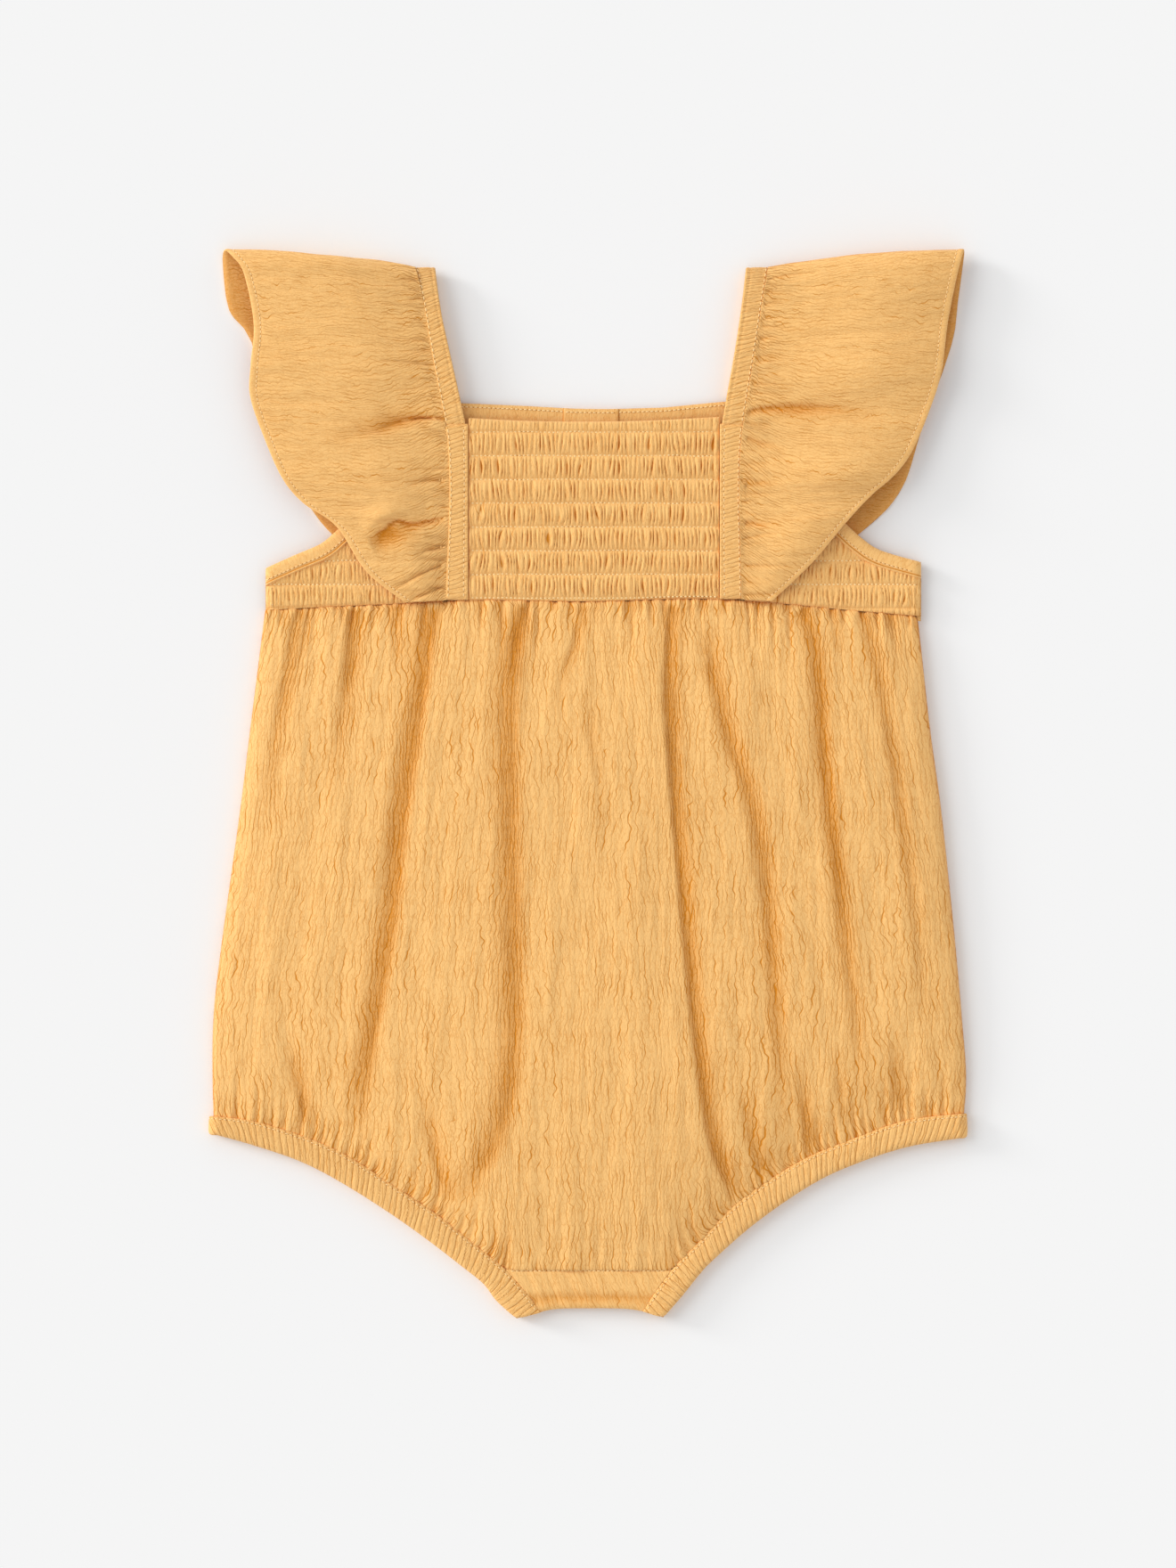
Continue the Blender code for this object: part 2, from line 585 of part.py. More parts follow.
def make_garment():
    clear_scene()
    collection = bpy.data.collections.new(GARMENT)
    bpy.context.scene.collection.children.link(collection)
    make_body()
    make_leg_casing("leg_casing_left", CASING_LEFT)
    make_leg_casing("leg_casing_right", CASING_RIGHT)
    make_crotch()
    make_centre_front()
    make_side_front("bodice_side_left", ARMHOLE_LEFT)
    make_side_front("bodice_side_right", ARMHOLE_RIGHT)
    make_facings("left", ARMHOLE_LEFT, STRAP_LEFT)
    make_facings("right", ARMHOLE_RIGHT, STRAP_RIGHT)
    make_band("front_band_left", STRAP_LEFT, CENTRE_LEFT - SEAM_GAP)
    make_band("front_band_right", STRAP_RIGHT, CENTRE_RIGHT + SEAM_GAP)
    make_strap("strap_left", STRAP_LEFT, STRAP_NECK_LEFT)
    make_strap("strap_right", STRAP_RIGHT, STRAP_NECK_RIGHT)
    make_flutter("flutter_left", STRAP_LEFT, FLUTTER_LEFT)
    make_flutter("flutter_right", STRAP_RIGHT, FLUTTER_RIGHT)
    make_back_bodice("bodice_back_left", ARMHOLE_LEFT, PLACKET_LEFT + PLACKET_LAP)
    make_back_bodice("bodice_back_right", ARMHOLE_RIGHT, PLACKET_RIGHT - PLACKET_LAP)
    make_placket()


make_garment()
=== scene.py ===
"""A baby romper laid flat: crinkled cotton, a smocked bodice, flutter sleeves and elastic leg casings.

Sizes and tables are in millimetres, as in the garment's pattern, and the meshes are in metres.
X runs to the right across the garment, Y from the crotch to the shoulders and Z up from the floor.
u and v, from 0 to 1, run across and along each piece of cloth.
"""

import math
from collections import namedtuple

import bmesh
import bpy
import numpy as np
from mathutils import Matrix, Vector


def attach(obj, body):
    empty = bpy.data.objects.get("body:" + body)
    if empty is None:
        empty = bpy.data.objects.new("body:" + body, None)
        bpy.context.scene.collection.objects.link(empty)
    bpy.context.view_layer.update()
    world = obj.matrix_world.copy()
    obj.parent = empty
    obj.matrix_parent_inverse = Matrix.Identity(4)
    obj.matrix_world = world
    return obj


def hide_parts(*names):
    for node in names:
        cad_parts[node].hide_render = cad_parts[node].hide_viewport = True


bl_info = {
    "name": "Baby romper",
    "version": (1, 0, 0),
    "blender": (4, 5, 0),
    "location": "View3D > Sidebar > Romper",
    "description": "Makes a baby romper in crinkled cotton, laid flat, and lights it",
    "category": "Object",
}

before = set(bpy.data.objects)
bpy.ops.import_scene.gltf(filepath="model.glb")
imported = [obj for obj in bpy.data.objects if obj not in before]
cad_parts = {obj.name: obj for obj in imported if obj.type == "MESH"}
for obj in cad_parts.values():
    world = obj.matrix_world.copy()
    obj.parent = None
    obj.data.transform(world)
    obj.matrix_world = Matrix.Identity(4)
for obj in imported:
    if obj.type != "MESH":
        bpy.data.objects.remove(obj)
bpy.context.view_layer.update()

MM = 0.001
UP, DOWN = np.array((0.0, 0.0, 1.0)), np.array((0.0, 0.0, -1.0))

# Colours, sRGB from 0 to 255
COTTON = (253, 199, 124)
# Painted shade: the darker, redder colour that the cloth is mixed towards along its crease lines and
# gathers and deep in its folds
CREASE_SHADE = (214, 132, 16)
THREAD = (255, 220, 160)
# Painted shade: the colour of the dark discs at the needle's holes
NEEDLE_HOLE_SHADE = (172, 104, 28)
STEEL = (196, 196, 194)
PAPER = (248, 248, 248)

# Heights of the layers above the floor, and how thick they are
BODY_CLOTH, STRIP_CLOTH, FACING_CLOTH, INSIDE_CLOTH, PLACKET_CLOTH = 1.4, 2.2, 1.4, 0.9, 0.6
SOLID_CLOTH, SMOCKED_CLOTH = 1.2, 1.0
BACK_BODICE_Z = 1.5
OUTER_PLACKET_Z, INNER_PLACKET_Z = 0.5, 2.8
SIDE_SEAM_Z, SIDE_BAND_Z, FRONT_Z = 3.0, 4.2, 4.5
BODY_PUFF, SIDE_RISE = 8.5, 3.0
SIDE_EDGE_Z = 1.5

# The bodice
CENTRE_LEFT, CENTRE_RIGHT = -44.9, 49.4
CENTRE_WIDTH, CENTRE_LENGTH = 94.0, 68.0
STRAP_JOINT_Y = 135.0
PLACKET_LEFT, PLACKET_RIGHT, PLACKET_WIDTH = -9.4, 11.7, 21.0
PLACKET_LAP = 1.9
BACK_LAP = 1.8
WAIST_MIDDLE, NECK_MIDDLE = 68.5, 142.0
BAND_WIDTH, BAND_LENGTH = 8.6, 66.0
STRAP_WIDTH, STRAP_LENGTH = 8.0, 115.0
STRIP_SEAM, STRIP_INNER_SEAM, STRIP_SEWN_WIDTH = 0.8, 1.7, 8.3
FACING_WIDTH, FACING_UNDER, FACING_LENGTH = 5.5, 0.7, 95.0
SMOCK_PITCH = 8.9
CENTRE_ROWS, SIDE_ROWS = range(8), range(4, 7)
CENTRE_ROW_Y = 132.0
SIDE_ROW_Y = 128.25
RIDGE_PITCH = 1.62
SMOCK_FULLNESS = 1.3

# The edges of the garment, as (x, y) rows from left to right
WAIST = [(-121.3, 65.3), (-103.8, 66.2), (-70.3, 67.7), (-53.6, 68.7), (0, 68.5), (49.6, 69.3),
         (69.0, 68.0), (97.2, 65.3), (123.8, 63.0)]
ARMHOLE_LEFT = [(-121.0, 75.0), (-108.2, 80.7), (-97.5, 85.4), (-90.1, 91.5), (-80.0, 101.0),
                (-70.0, 112.0), (-62.0, 123.0), (-57.0, 130.6), (-54.0, 134.6)]
ARMHOLE_RIGHT = [(58.8, 134.6), (61.6, 130.6), (66.5, 123.0), (74.0, 112.0), (83.0, 102.0),
                 (92.5, 94.0), (99.2, 88.0), (107.9, 82.5), (125.0, 77.6)]
FRONT_NECK = [(-44.9, 137.3), (-26.8, 136.3), (0.0, 135.9), (19.8, 136.2), (49.9, 137.7)]
BACK_NECK = [(-53.9, 143.4), (-46.9, 143.0), (-23.5, 142.0), (-9.4, 141.2), (11.7, 140.9),
             (28.5, 141.4), (50.9, 143.6), (58.5, 144.0)]

# The side seams and the edges of the straps, as (y, x) rows from the bottom up
SIDE_LEFT = [(-124.6, -140.7), (-113.9, -141.0), (-87.1, -140.7), (-60.3, -137.7), (-33.5, -134.0),
             (-6.7, -130.3), (20.1, -127.0), (46.9, -123.6), (65.3, -121.3)]
SIDE_RIGHT = [(-123.6, 141.3), (-113.9, 142.0), (-87.1, 140.4), (-60.3, 138.0), (-33.5, 135.3),
              (-6.7, 132.3), (20.1, 128.6), (46.9, 125.6), (63.0, 123.8)]
STRAP_LEFT = [(66.0, -53.2), (135.0, -53.6), (150.7, -56.6), (167.5, -59.6), (181.0, -61.9),
              (190.0, -63.9), (194.0, -65.2)]
STRAP_RIGHT = [(66.0, 57.8), (135.0, 58.4), (150.7, 60.9), (167.5, 63.6), (181.0, 65.6),
               (190.0, 67.2), (194.0, 68.0)]
STRAP_NECK_LEFT = [(135.0, -45.9), (147.4, -48.6), (160.8, -51.6), (177.6, -55.2), (194.0, -57.5)]
STRAP_NECK_RIGHT = [(135.0, 50.2), (147.4, 52.4), (160.8, 54.8), (177.6, 57.4), (194.0, 59.4)]

# The heights of the body's front edges above the floor, across the garment from 0 to 1
WAIST_HEIGHTS = [(0.0, SIDE_SEAM_Z), (0.27, SIDE_BAND_Z), (0.30, FRONT_Z), (0.70, FRONT_Z),
                 (0.73, SIDE_BAND_Z), (1.0, SIDE_SEAM_Z)]
LEG_HEIGHTS = [(0.0, 1.5), (0.06, 2.7), (0.38, 3.2), (0.62, 3.2), (0.94, 2.7), (1.0, 1.5)]

# A crease: a soft trough along a path. Its left and right widths are those of its way, and start and end
# are the shares of its length over which it deepens and runs out.
Crease = namedtuple("Crease", "path left right depth start end")
BODY_CREASES = [
    Crease(((-108.5, 66), (-112.6, 40), (-117.6, 12), (-121, -22)), 3.0, 2.0, 0.99, 0.05, 0.6),
    Crease(((-88.4, 66), (-89.4, 48), (-91.5, 27), (-97.2, -6)), 3.6, 1.8, 1.36, 0.03, 0.6),
    Crease(((-72.8, 67), (-72.0, 55), (-71.0, 38)), 2.6, 1.4, 0.99, 0.05, 0.7),
    Crease(((-57.0, 67), (-63.3, 24), (-69.3, -16), (-73.7, -57), (-82.7, -108), (-86.5, -134)),
           1.9, 4.4, 1.5, 0.02, 0.25),
    Crease(((-24.0, 68), (-28.5, 33), (-28.0, -20), (-27.0, -92), (-32.5, -128), (-48.0, -158)),
           2.8, 4.8, 1.3, 0.1, 0.12),
    Crease(((-24.3, 67), (-26.6, 52), (-29.0, 36)), 1.0, 1.6, 0.9, 0.02, 0.7),
    Crease(((-2.0, 67), (-5.0, 53), (-10.0, 38), (-12.5, 18)), 2.4, 1.2, 0.93, 0.05, 0.6),
    Crease(((-0.7, 36), (1.0, 18), (4.4, -2), (5.0, -30)), 2.6, 1.6, 0.5, 0.3, 0.6),
    Crease(((31.2, 68), (29.6, 32), (33.8, -26), (39.9, -90), (46.6, -135), (57.0, -158)),
           3.6, 1.2, 1.55, 0.02, 0.15),
    Crease(((43.0, 62), (50.9, 24), (60.0, -2), (66.7, -37), (70.0, -80), (74.4, -135)),
           3.0, 2.6, 1.24, 0.1, 0.2),
    Crease(((79.7, 66), (85.4, 49), (88.8, 7), (95.5, -49), (105.5, -128)), 2.6, 2.6, 1.5, 0.03, 0.3),
    Crease(((91.0, 66), (93.0, 56), (95.0, 45)), 2.4, 1.3, 0.87, 0.05, 0.7),
    Crease(((103.5, 65), (108.9, 40), (116.6, -6), (123.0, -55), (128.6, -104)), 2.8, 2.0, 0.9, 0.03, 0.45),
    Crease(((113.6, 64), (115.0, 54), (116.5, 42)), 2.2, 1.4, 0.74, 0.05, 0.7),
    Crease(((-112.0, -92), (-109.0, -110), (-104.0, -130)), 3.0, 2.0, 0.87, 0.5, 0.2),
    Crease(((-62.0, -112), (-57.0, -138), (-51.0, -158)), 3.0, 2.0, 0.99, 0.5, 0.2),
    Crease(((57.6, -112), (61.0, -131), (67.0, -149)), 3.4, 2.0, 1.12, 0.5, 0.2),
    Crease(((78.7, -102), (81.0, -122), (84.5, -139)), 3.0, 1.8, 1.25, 0.5, 0.2),
    Crease(((92.0, -98), (94.0, -112), (97.0, -130)), 2.6, 1.8, 0.74, 0.5, 0.2),
    Crease(((114.0, -96), (115.0, -108), (117.5, -124)), 2.6, 1.8, 0.87, 0.5, 0.2),
]
FOLD_FALL, FOLD_SHADE_WIDTH = 0.62, 1.3
WAIST_GATHERS, LEG_GATHERS = 70, 30
LEAN_HEIGHT, LEAN, CASING_LEAN = 5.0, 0.75, 0.45
LEG_SEAM_LAP, SEAM_LAP = 0.3, 0.35
CUT_WIDTH, BODY_LENGTH = 265.0, 245.0
FOLD_CLOTH_REACH, FLUTTER_CLOTH_REACH = 14.0, 12.0
# FOLD_DEEPEST and FLUTTER_DEEPEST are how deep a crease lies where its painted shade is full. INSIDE_SHADE
# is the painted shade of inner faces, and RIGHT_INSIDE_SHADE a painted shadow on the right flutter's back
# half, under its front half.
FOLD_DEEPEST, FLUTTER_DEEPEST = 2.3, 2.2
INSIDE_SHADE, RIGHT_INSIDE_SHADE = 0.45, 0.5
FULLNESS, STRIP_FULLNESS, FLUTTER_FULLNESS = 1.1, 1.4, 1.35

# A flutter sleeve, from the front of the waist over the shoulder to the back of the waist
Rib = namedtuple("Rib", "seam_y hem_x hem_y seam_z middle_z hem_z")
FLUTTER_LEFT = [
    Rib(68.9, -68.6, 68.0, 6.4, 7.2, 7.2),
    Rib(80.0, -83.0, 79.5, 6.4, 8.4, 8.0),
    Rib(90.0, -94.0, 96.2, 6.4, 9.0, 8.2),
    Rib(98.5, -106.6, 105.2, 6.4, 8.6, 7.4),
    Rib(108.0, -114.4, 114.4, 6.4, 9.3, 8.0),
    Rib(121.0, -121.0, 129.0, 6.4, 9.0, 7.4),
    Rib(136.0, -126.5, 145.0, 6.7, 8.2, 6.6),
    Rib(150.0, -126.3, 157.0, 6.9, 9.4, 7.6),
    Rib(166.0, -125.2, 172.5, 6.9, 8.9, 6.9),
    Rib(183.0, -128.8, 191.0, 6.9, 9.2, 7.1),
    Rib(190.5, -133.2, 197.6, 6.6, 9.0, 6.2),
    Rib(193.6, -136.5, 200.1, 3.9, 5.0, 3.6),
    Rib(190.0, -137.2, 194.5, 0.8, 0.8, 0.8),
    Rib(178.0, -134.8, 178.0, 0.6, 0.6, 0.6),
    Rib(165.0, -126.4, 166.0, 0.6, 0.6, 0.6),
    Rib(135.0, -119.0, 134.0, 0.6, 0.6, 0.6),
    Rib(100.0, -100.5, 98.5, 0.6, 0.6, 0.6),
    Rib(71.0, -69.0, 71.5, 0.6, 0.6, 0.6),
]
FLUTTER_RIGHT = [
    Rib(69.1, 69.0, 68.5, 7.0, 7.4, 7.2),
    Rib(81.0, 84.0, 83.0, 7.0, 9.4, 8.2),
    Rib(93.0, 96.0, 97.3, 7.1, 10.8, 8.8),
    Rib(104.0, 106.0, 108.0, 7.1, 9.6, 7.8),
    Rib(116.0, 114.6, 115.6, 7.2, 12.0, 8.4),
    Rib(127.0, 121.3, 124.6, 7.2, 10.6, 7.2),
    Rib(139.0, 128.3, 141.0, 7.0, 8.6, 6.6),
    Rib(152.0, 132.4, 155.0, 7.4, 11.8, 8.0),
    Rib(168.0, 134.6, 172.0, 7.2, 10.4, 6.9),
    Rib(183.0, 137.6, 188.0, 7.2, 11.2, 7.4),
    Rib(190.5, 140.0, 197.2, 6.6, 9.2, 6.2),
    Rib(193.6, 141.2, 200.1, 3.9, 5.0, 3.6),
    Rib(190.0, 140.8, 194.5, 0.8, 0.8, 0.8),
    Rib(180.0, 139.0, 181.0, 0.6, 0.6, 0.6),
    Rib(165.0, 136.6, 165.0, 0.6, 0.6, 0.6),
    Rib(135.0, 125.8, 134.6, 0.6, 0.6, 0.6),
    Rib(103.0, 113.0, 104.0, 0.6, 0.6, 0.6),
    Rib(71.0, 70.5, 71.5, 0.6, 0.6, 0.6),
]
FRONT_RIBS = 11
SHOULDER_BOW, BOW_START, BOW_RISE = 1.5, 172.0, 18.0
FLUTTER_REST_Z = 4.9
HEM_WIDTH = 2.6
FLUTTER_CREASES_LEFT = [
    Crease(((-53.0, 136.6), (-60.0, 137.0), (-67.0, 136.4), (-78.0, 133.4)), 0.6, 1.2, 2.0, 0.04, 0.5),
    Crease(((-58.0, 136.0), (-72.0, 134.5), (-84.0, 131.4), (-99, 127)), 2.0, 4.5, 1.2, 0.3, 0.6),
    Crease(((-82.0, 90.0), (-76.5, 92.8), (-70.0, 95.0), (-62.0, 95.8)), 2.2, 4.8, 1.8, 0.25, 0.5),
    Crease(((-79.6, 93.0), (-76.0, 95.6), (-71.4, 98.8), (-67.4, 97.6), (-61.0, 98.1), (-53.5, 100.0)),
           0.7, 1.5, 1.4, 0.2, 0.1),
    Crease(((-84.0, 95.5), (-77.5, 100.0), (-70.0, 102.6), (-61.0, 102.4)), 4.6, 1.8, -1.6, 0.3, 0.5),
    Crease(((-53.9, 88.6), (-59.0, 87.6), (-65.3, 85.6)), 0.6, 1.1, 0.8, 0.1, 0.5),
    Crease(((-54.0, 82.2), (-63.0, 78.2), (-73.0, 72.6)), 0.6, 1.3, 0.9, 0.1, 0.4),
    Crease(((-55.0, 73.4), (-62.0, 70.6), (-69.0, 67.6)), 0.6, 1.1, 0.7, 0.1, 0.4),
    Crease(((-53.5, 113.5), (-61.0, 113.6), (-68.0, 111.6)), 0.7, 1.4, 0.9, 0.1, 0.6),
]
FLUTTER_CREASES_RIGHT = [
    Crease(((58.5, 139.3), (67.0, 140.9), (80.0, 141.6), (104, 139.2)), 0.8, 1.8, 1.1, 0.1, 0.7),
    Crease(((64.0, 139.5), (78.0, 140.6), (94.0, 140.4), (110, 138.0)), 2.0, 4.0, 1.0, 0.3, 0.6),
    Crease(((59.0, 130.0), (66.0, 127.5), (75.0, 124.8)), 0.7, 1.4, 0.8, 0.1, 0.6),
    Crease(((58.5, 112), (66.0, 112.6), (74.0, 111.6)), 0.7, 1.4, 0.7, 0.05, 0.6),
    Crease(((58.5, 98), (66.0, 97.0), (73.0, 97.4)), 0.7, 1.4, 0.65, 0.05, 0.6),
]
SEAM_GATHERS = 44

# A strap, from the front band over the shoulder to the top of the back
Stretch = namedtuple("Stretch", "y z")
STRAP = [Stretch(135.0, 5.6), Stretch(150.0, 5.9), Stretch(165.0, 6.0), Stretch(178.0, 5.8),
         Stretch(188.0, 5.2), Stretch(192.6, 3.3), Stretch(188.0, 1.5), Stretch(165.0, 1.5),
         Stretch(144.6, 1.5)]

# A leg casing, from the front of the crotch to the side seam
Band = namedtuple("Band", "inner_x inner_y outer_x outer_y")
CASING_LEFT = [
    Band(-17.8, -198.3, -26.8, -200.7),
    Band(-23.5, -190.3, -34.3, -194.0),
    Band(-31.5, -181.6, -39.2, -187.6),
    Band(-40.9, -173.9, -47.1, -181.2),
    Band(-55.3, -162.5, -61.0, -170.5),
    Band(-71.7, -151.4, -76.7, -159.5),
    Band(-91.1, -139.0, -95.1, -148.1),
    Band(-106.5, -132.3, -109.5, -141.0),
    Band(-125.0, -126.6, -126.8, -135.2),
    Band(-138.8, -124.8, -139.0, -131.8),
]
CASING_RIGHT = [
    Band(20.6, -197.9, 28.2, -200.3),
    Band(26.1, -189.3, 35.6, -191.8),
    Band(33.2, -180.2, 41.7, -184.2),
    Band(40.9, -172.5, 47.2, -178.4),
    Band(57.6, -155.8, 63.3, -164.4),
    Band(79.7, -141.4, 84.1, -150.2),
    Band(97.8, -133.7, 100.8, -142.4),
    Band(118.9, -126.3, 119.9, -136.2),
    Band(138.8, -123.8, 139.0, -133.0),
]
CASING_FRONT_Z, CASING_BACK_Z = 3.7, 1.1
CASING_THICK, CASING_WIDTH = 2.2, 9.0
CASING_FOLD = 2.3
CASING_SEAM = 1.0
CORNER_LEFT, CORNER_RIGHT = (-140.7, -124.6), (141.0, -123.6)
CROTCH_LINE = [(-28.0, -182.2), (30.0, -182.2)]
FLAP_LOW_Y, CROTCH_Y = -196.8, -182.1
FLAP_BOW_LEFT, FLAP_BOW_RIGHT = 1.5, 1.2
FLAP_FRONT_Z, FLAP_FRONT_CLOTH, FLAP_BACK_Z = 3.0, 1.8, 0.5
FLAP_FOLD, FLAP_SHADE_LENGTH = 4.2, 15.1

# The two sides of the garment. way points outwards, and seed is added to the seeds of the left side.
Side = namedtuple("Side", "name way seed edge_x band_x centre_x placket_x armhole strap strap_neck casing "
                          "ribs crest creases tucked waves inside_shade lean")
LEFT = Side(
    "left", -1, 0, -121.0, -53.0, CENTRE_LEFT, PLACKET_LEFT + PLACKET_LAP, ARMHOLE_LEFT, STRAP_LEFT,
    STRAP_NECK_LEFT, CASING_LEFT, FLUTTER_LEFT, 0.42, FLUTTER_CREASES_LEFT, [(93, 104), (134, 140)],
    1.8, 0, -0.36)
RIGHT = Side(
    "right", 1, 2, 125.0, 57.0, CENTRE_RIGHT, PLACKET_RIGHT - PLACKET_LAP, ARMHOLE_RIGHT, STRAP_RIGHT,
    STRAP_NECK_RIGHT, CASING_RIGHT, FLUTTER_RIGHT, 0.62, FLUTTER_CREASES_RIGHT, [(126, 132), (136, 143)],
    1.3, RIGHT_INSIDE_SHADE, -0.22)
SIDES = (LEFT, RIGHT)

# Stitches: how long, how far apart, how wide and how high they are, and the size of a needle's hole, a dark
# disc of painted shade
STITCH, STITCH_GAP, STITCH_WIDTH, STITCH_HEIGHT = 1.15, 0.55, 0.42, 0.3
STRIP_STITCH = {"length": 1.4, "gap": 0.8, "width": 0.45}
SMOCKING_STITCH = {"length": 1.0, "gap": 0.6, "width": 0.75}
HOLE = (0.42, 0.38, 0.12)
STITCH_LIFT, HOLE_LIFT = 0.12, 0.02

# The camera: straight above the garment, so that the picture is this tall on the floor
PICTURE_LONG_SIDE = 1760 * 0.335
CAMERA_HEIGHT = 1.8
SENSOR = 36.0
FLOOR_SIZE, FLOOR_Z = 8.0, -0.0002


# Reading the tables


def mix(start, end, share):
    return start + (end - start) * share


def run(table, x):
    """The value at x of a table of (x, value) rows, in straight runs."""
    places, values = np.array(table, float).T
    return np.interp(x, places, values)


def read(table, x):
    """The value at x on a smooth curve through a table of (x, value) rows."""
    places, values = np.array(table, float).T
    slopes = np.gradient(values, places)
    at = np.clip(x, places[0], places[-1])
    i = np.clip(np.searchsorted(places, at) - 1, 0, len(places) - 2)
    step = places[i + 1] - places[i]
    t = (at - places[i]) / step
    low = values[i] * (1 + 2 * t) * (1 - t) ** 2 + step * slopes[i] * t * (1 - t) ** 2
    high = values[i + 1] * t**2 * (3 - 2 * t) + step * slopes[i + 1] * t**2 * (t - 1)
    return low + high


def along(rows, t):
    """The rows at t, from 0 to 1, on a smooth curve through a table's rows."""
    rows = np.array(rows, float)
    last = len(rows) - 1
    place = np.clip(t, 0, 1) * last
    first = np.minimum(place.astype(int), last - 1)
    f = (place - first)[:, None]
    a, b, c, d = (rows[np.clip(first + step, 0, last)] for step in (-1, 0, 1, 2))
    return 0.5 * (2 * b + (c - a) * f + (2 * a - 5 * b + 4 * c - d) * f**2 + (3 * b - a - 3 * c + d) * f**3)


def curve_through(rows, pieces):
    """Places on the smooth curve through a table's rows, with so many pieces between two rows."""
    return along(rows, np.linspace(0, 1, pieces * (len(rows) - 1) + 1))


def outward(side, share):
    """Turns a share from left to right into one from the garment's middle outwards, or back."""
    return share if side.way > 0 else 1 - share


def points(x, y, z):
    return np.stack(np.broadcast_arrays(x, y, z), -1)


def lengths_along(path):
    """How far along a path each of its places is."""
    return np.concatenate([[0], np.cumsum(np.linalg.norm(np.diff(path, axis=0), axis=1))])


def unit(vectors):
    return vectors / np.linalg.norm(vectors, axis=1)[:, None]


# Forms that cloth takes


def noise(x, y, seed):
    """Smooth random heights on both sides of nought, one hump or hollow for about each unit of x and y."""
    cells = 256
    angles = np.random.default_rng(seed).uniform(0, 2 * np.pi, (cells, cells))
    x, y = np.broadcast_arrays(x, y)
    column, row = np.floor(x).astype(int), np.floor(y).astype(int)
    fx, fy = x - column, y - row

    def pull(i, j):
        angle = angles[(column + i) % cells, (row + j) % cells]
        return np.cos(angle) * (fx - i) + np.sin(angle) * (fy - j)

    sx, sy = (f**3 * (f * (6 * f - 15) + 10) for f in (fx, fy))
    return mix(mix(pull(0, 0), pull(1, 0), sx), mix(pull(0, 1), pull(1, 1), sx), sy)


def furrow(q):
    """A soft furrow, 1 deep at nought and about 1 wide to each side."""
    return np.exp(-(q**2))


def rounded(share):
    """From 0 to 1 as the edge of a soft fold rises."""
    return np.sqrt(1 - (1 - np.clip(share, 0, 1)) ** 2)


def lip(share):
    """From 1 to 0 as the edge of a soft fold rises."""
    return 1 - rounded(share)


def soft_waves(across, lengthwise, seed):
    """The low, soft waves of crinkled cloth, longer than they are wide."""
    wide = noise(across / 3.9, lengthwise / 24, seed)
    return 0.34 * wide + 0.16 * noise(across / 2.1, lengthwise / 11, seed + 1)


def gathers(place, depth, pitch, seed):
    """Nought along each gather: place runs past the gathers and depth along them."""
    phase = place / pitch + 0.5 * noise(place / (2.3 * pitch), depth / 9, seed)
    return np.sin(np.pi * phase) / 0.42


def from_path(path, x, y):
    """How far each place is from a path, on which side of its way, and where along it, from 0 to 1."""
    best = np.full(len(x), np.inf)
    side, place = np.zeros(len(x)), np.zeros(len(x))
    for count, (start, end) in enumerate(zip(path[:-1], path[1:])):
        step = end - start
        dx, dy = x - start[0], y - start[1]
        t = np.clip((dx * step[0] + dy * step[1]) / (step @ step), 0, 1)
        dx, dy = dx - t * step[0], dy - t * step[1]
        away = dx**2 + dy**2
        nearer = away < best
        best = np.where(nearer, away, best)
        side = np.where(nearer, np.sign(step[0] * dy - step[1] * dx), side)
        place = np.where(nearer, (count + t) / (len(path) - 1), place)
    return np.sqrt(best), side, place


def folds(creases, x, y, reach=0.0, wider=1.0):
    """How far creases pull the cloth down at x, y, and how much more cloth they take up across it, where
    reach is how far that shifts its crinkle."""
    sunk, taken = np.zeros(len(x)), np.zeros(len(x))
    for crease in creases:
        path = curve_through(crease.path, 5)
        margin = max(2.6 * wider * max(crease.left, crease.right), 2 * reach)
        low, high = path.min(0) - margin, path.max(0) + margin
        near = np.flatnonzero((x > low[0]) & (x < high[0]) & (y > low[1]) & (y < high[1]))
        away, side, place = from_path(path, x[near], y[near])
        width = wider * np.where(side > 0, crease.left, crease.right)
        depth = crease.depth * np.clip(place / crease.start, 0, 1) * np.clip((1 - place) / crease.end, 0, 1)
        sunk[near] += depth * furrow(away / width)
        if reach:
            taken[near] += side * depth * FULLNESS * np.tanh(away / width) * furrow(away / reach)
    return sunk, taken


def sink(creases, x, y):
    return folds(creases, x, y)[0]


# Cloth

# middle(u, v) is a smooth surface. relief(u, v) is how far its outer face stands off it, its creases, and
# its places on the cut cloth, whose crinkle runs along the second. facing is the way that the outer face
# looks, or None where the cloth folds over.
Form = namedtuple("Form", "middle relief facing thickness")


def normals(form, u, v):
    if form.facing is not None:
        return np.broadcast_to(form.facing, (len(u), 3))
    step = 0.002
    across = form.middle(np.minimum(u + step, 1), v) - form.middle(np.maximum(u - step, 0), v)
    length = form.middle(u, np.minimum(v + step, 1)) - form.middle(u, np.maximum(v - step, 0))
    return unit(np.cross(across, length))


def face_of(form, u, v, side):
    """Points on the outer face, side 1, or the inner one, side -1, and the depth of the creases there. The
    inner face gets at least INSIDE_SHADE of painted shade.
    """
    height, creases, cut = form.relief(u, v)
    creases = np.broadcast_to(creases, (len(u), 3))
    if side < 0:
        height, creases = 0 * height, np.maximum(creases, (-9, 0, INSIDE_SHADE))
    stands = side * form.thickness / 2 + height
    return form.middle(u, v) + normals(form, u, v) * stands[:, None], creases, cut


# The first of the three numbers of creases_of for cloth that isn't drawn up in gathers
UNGATHERED = 4


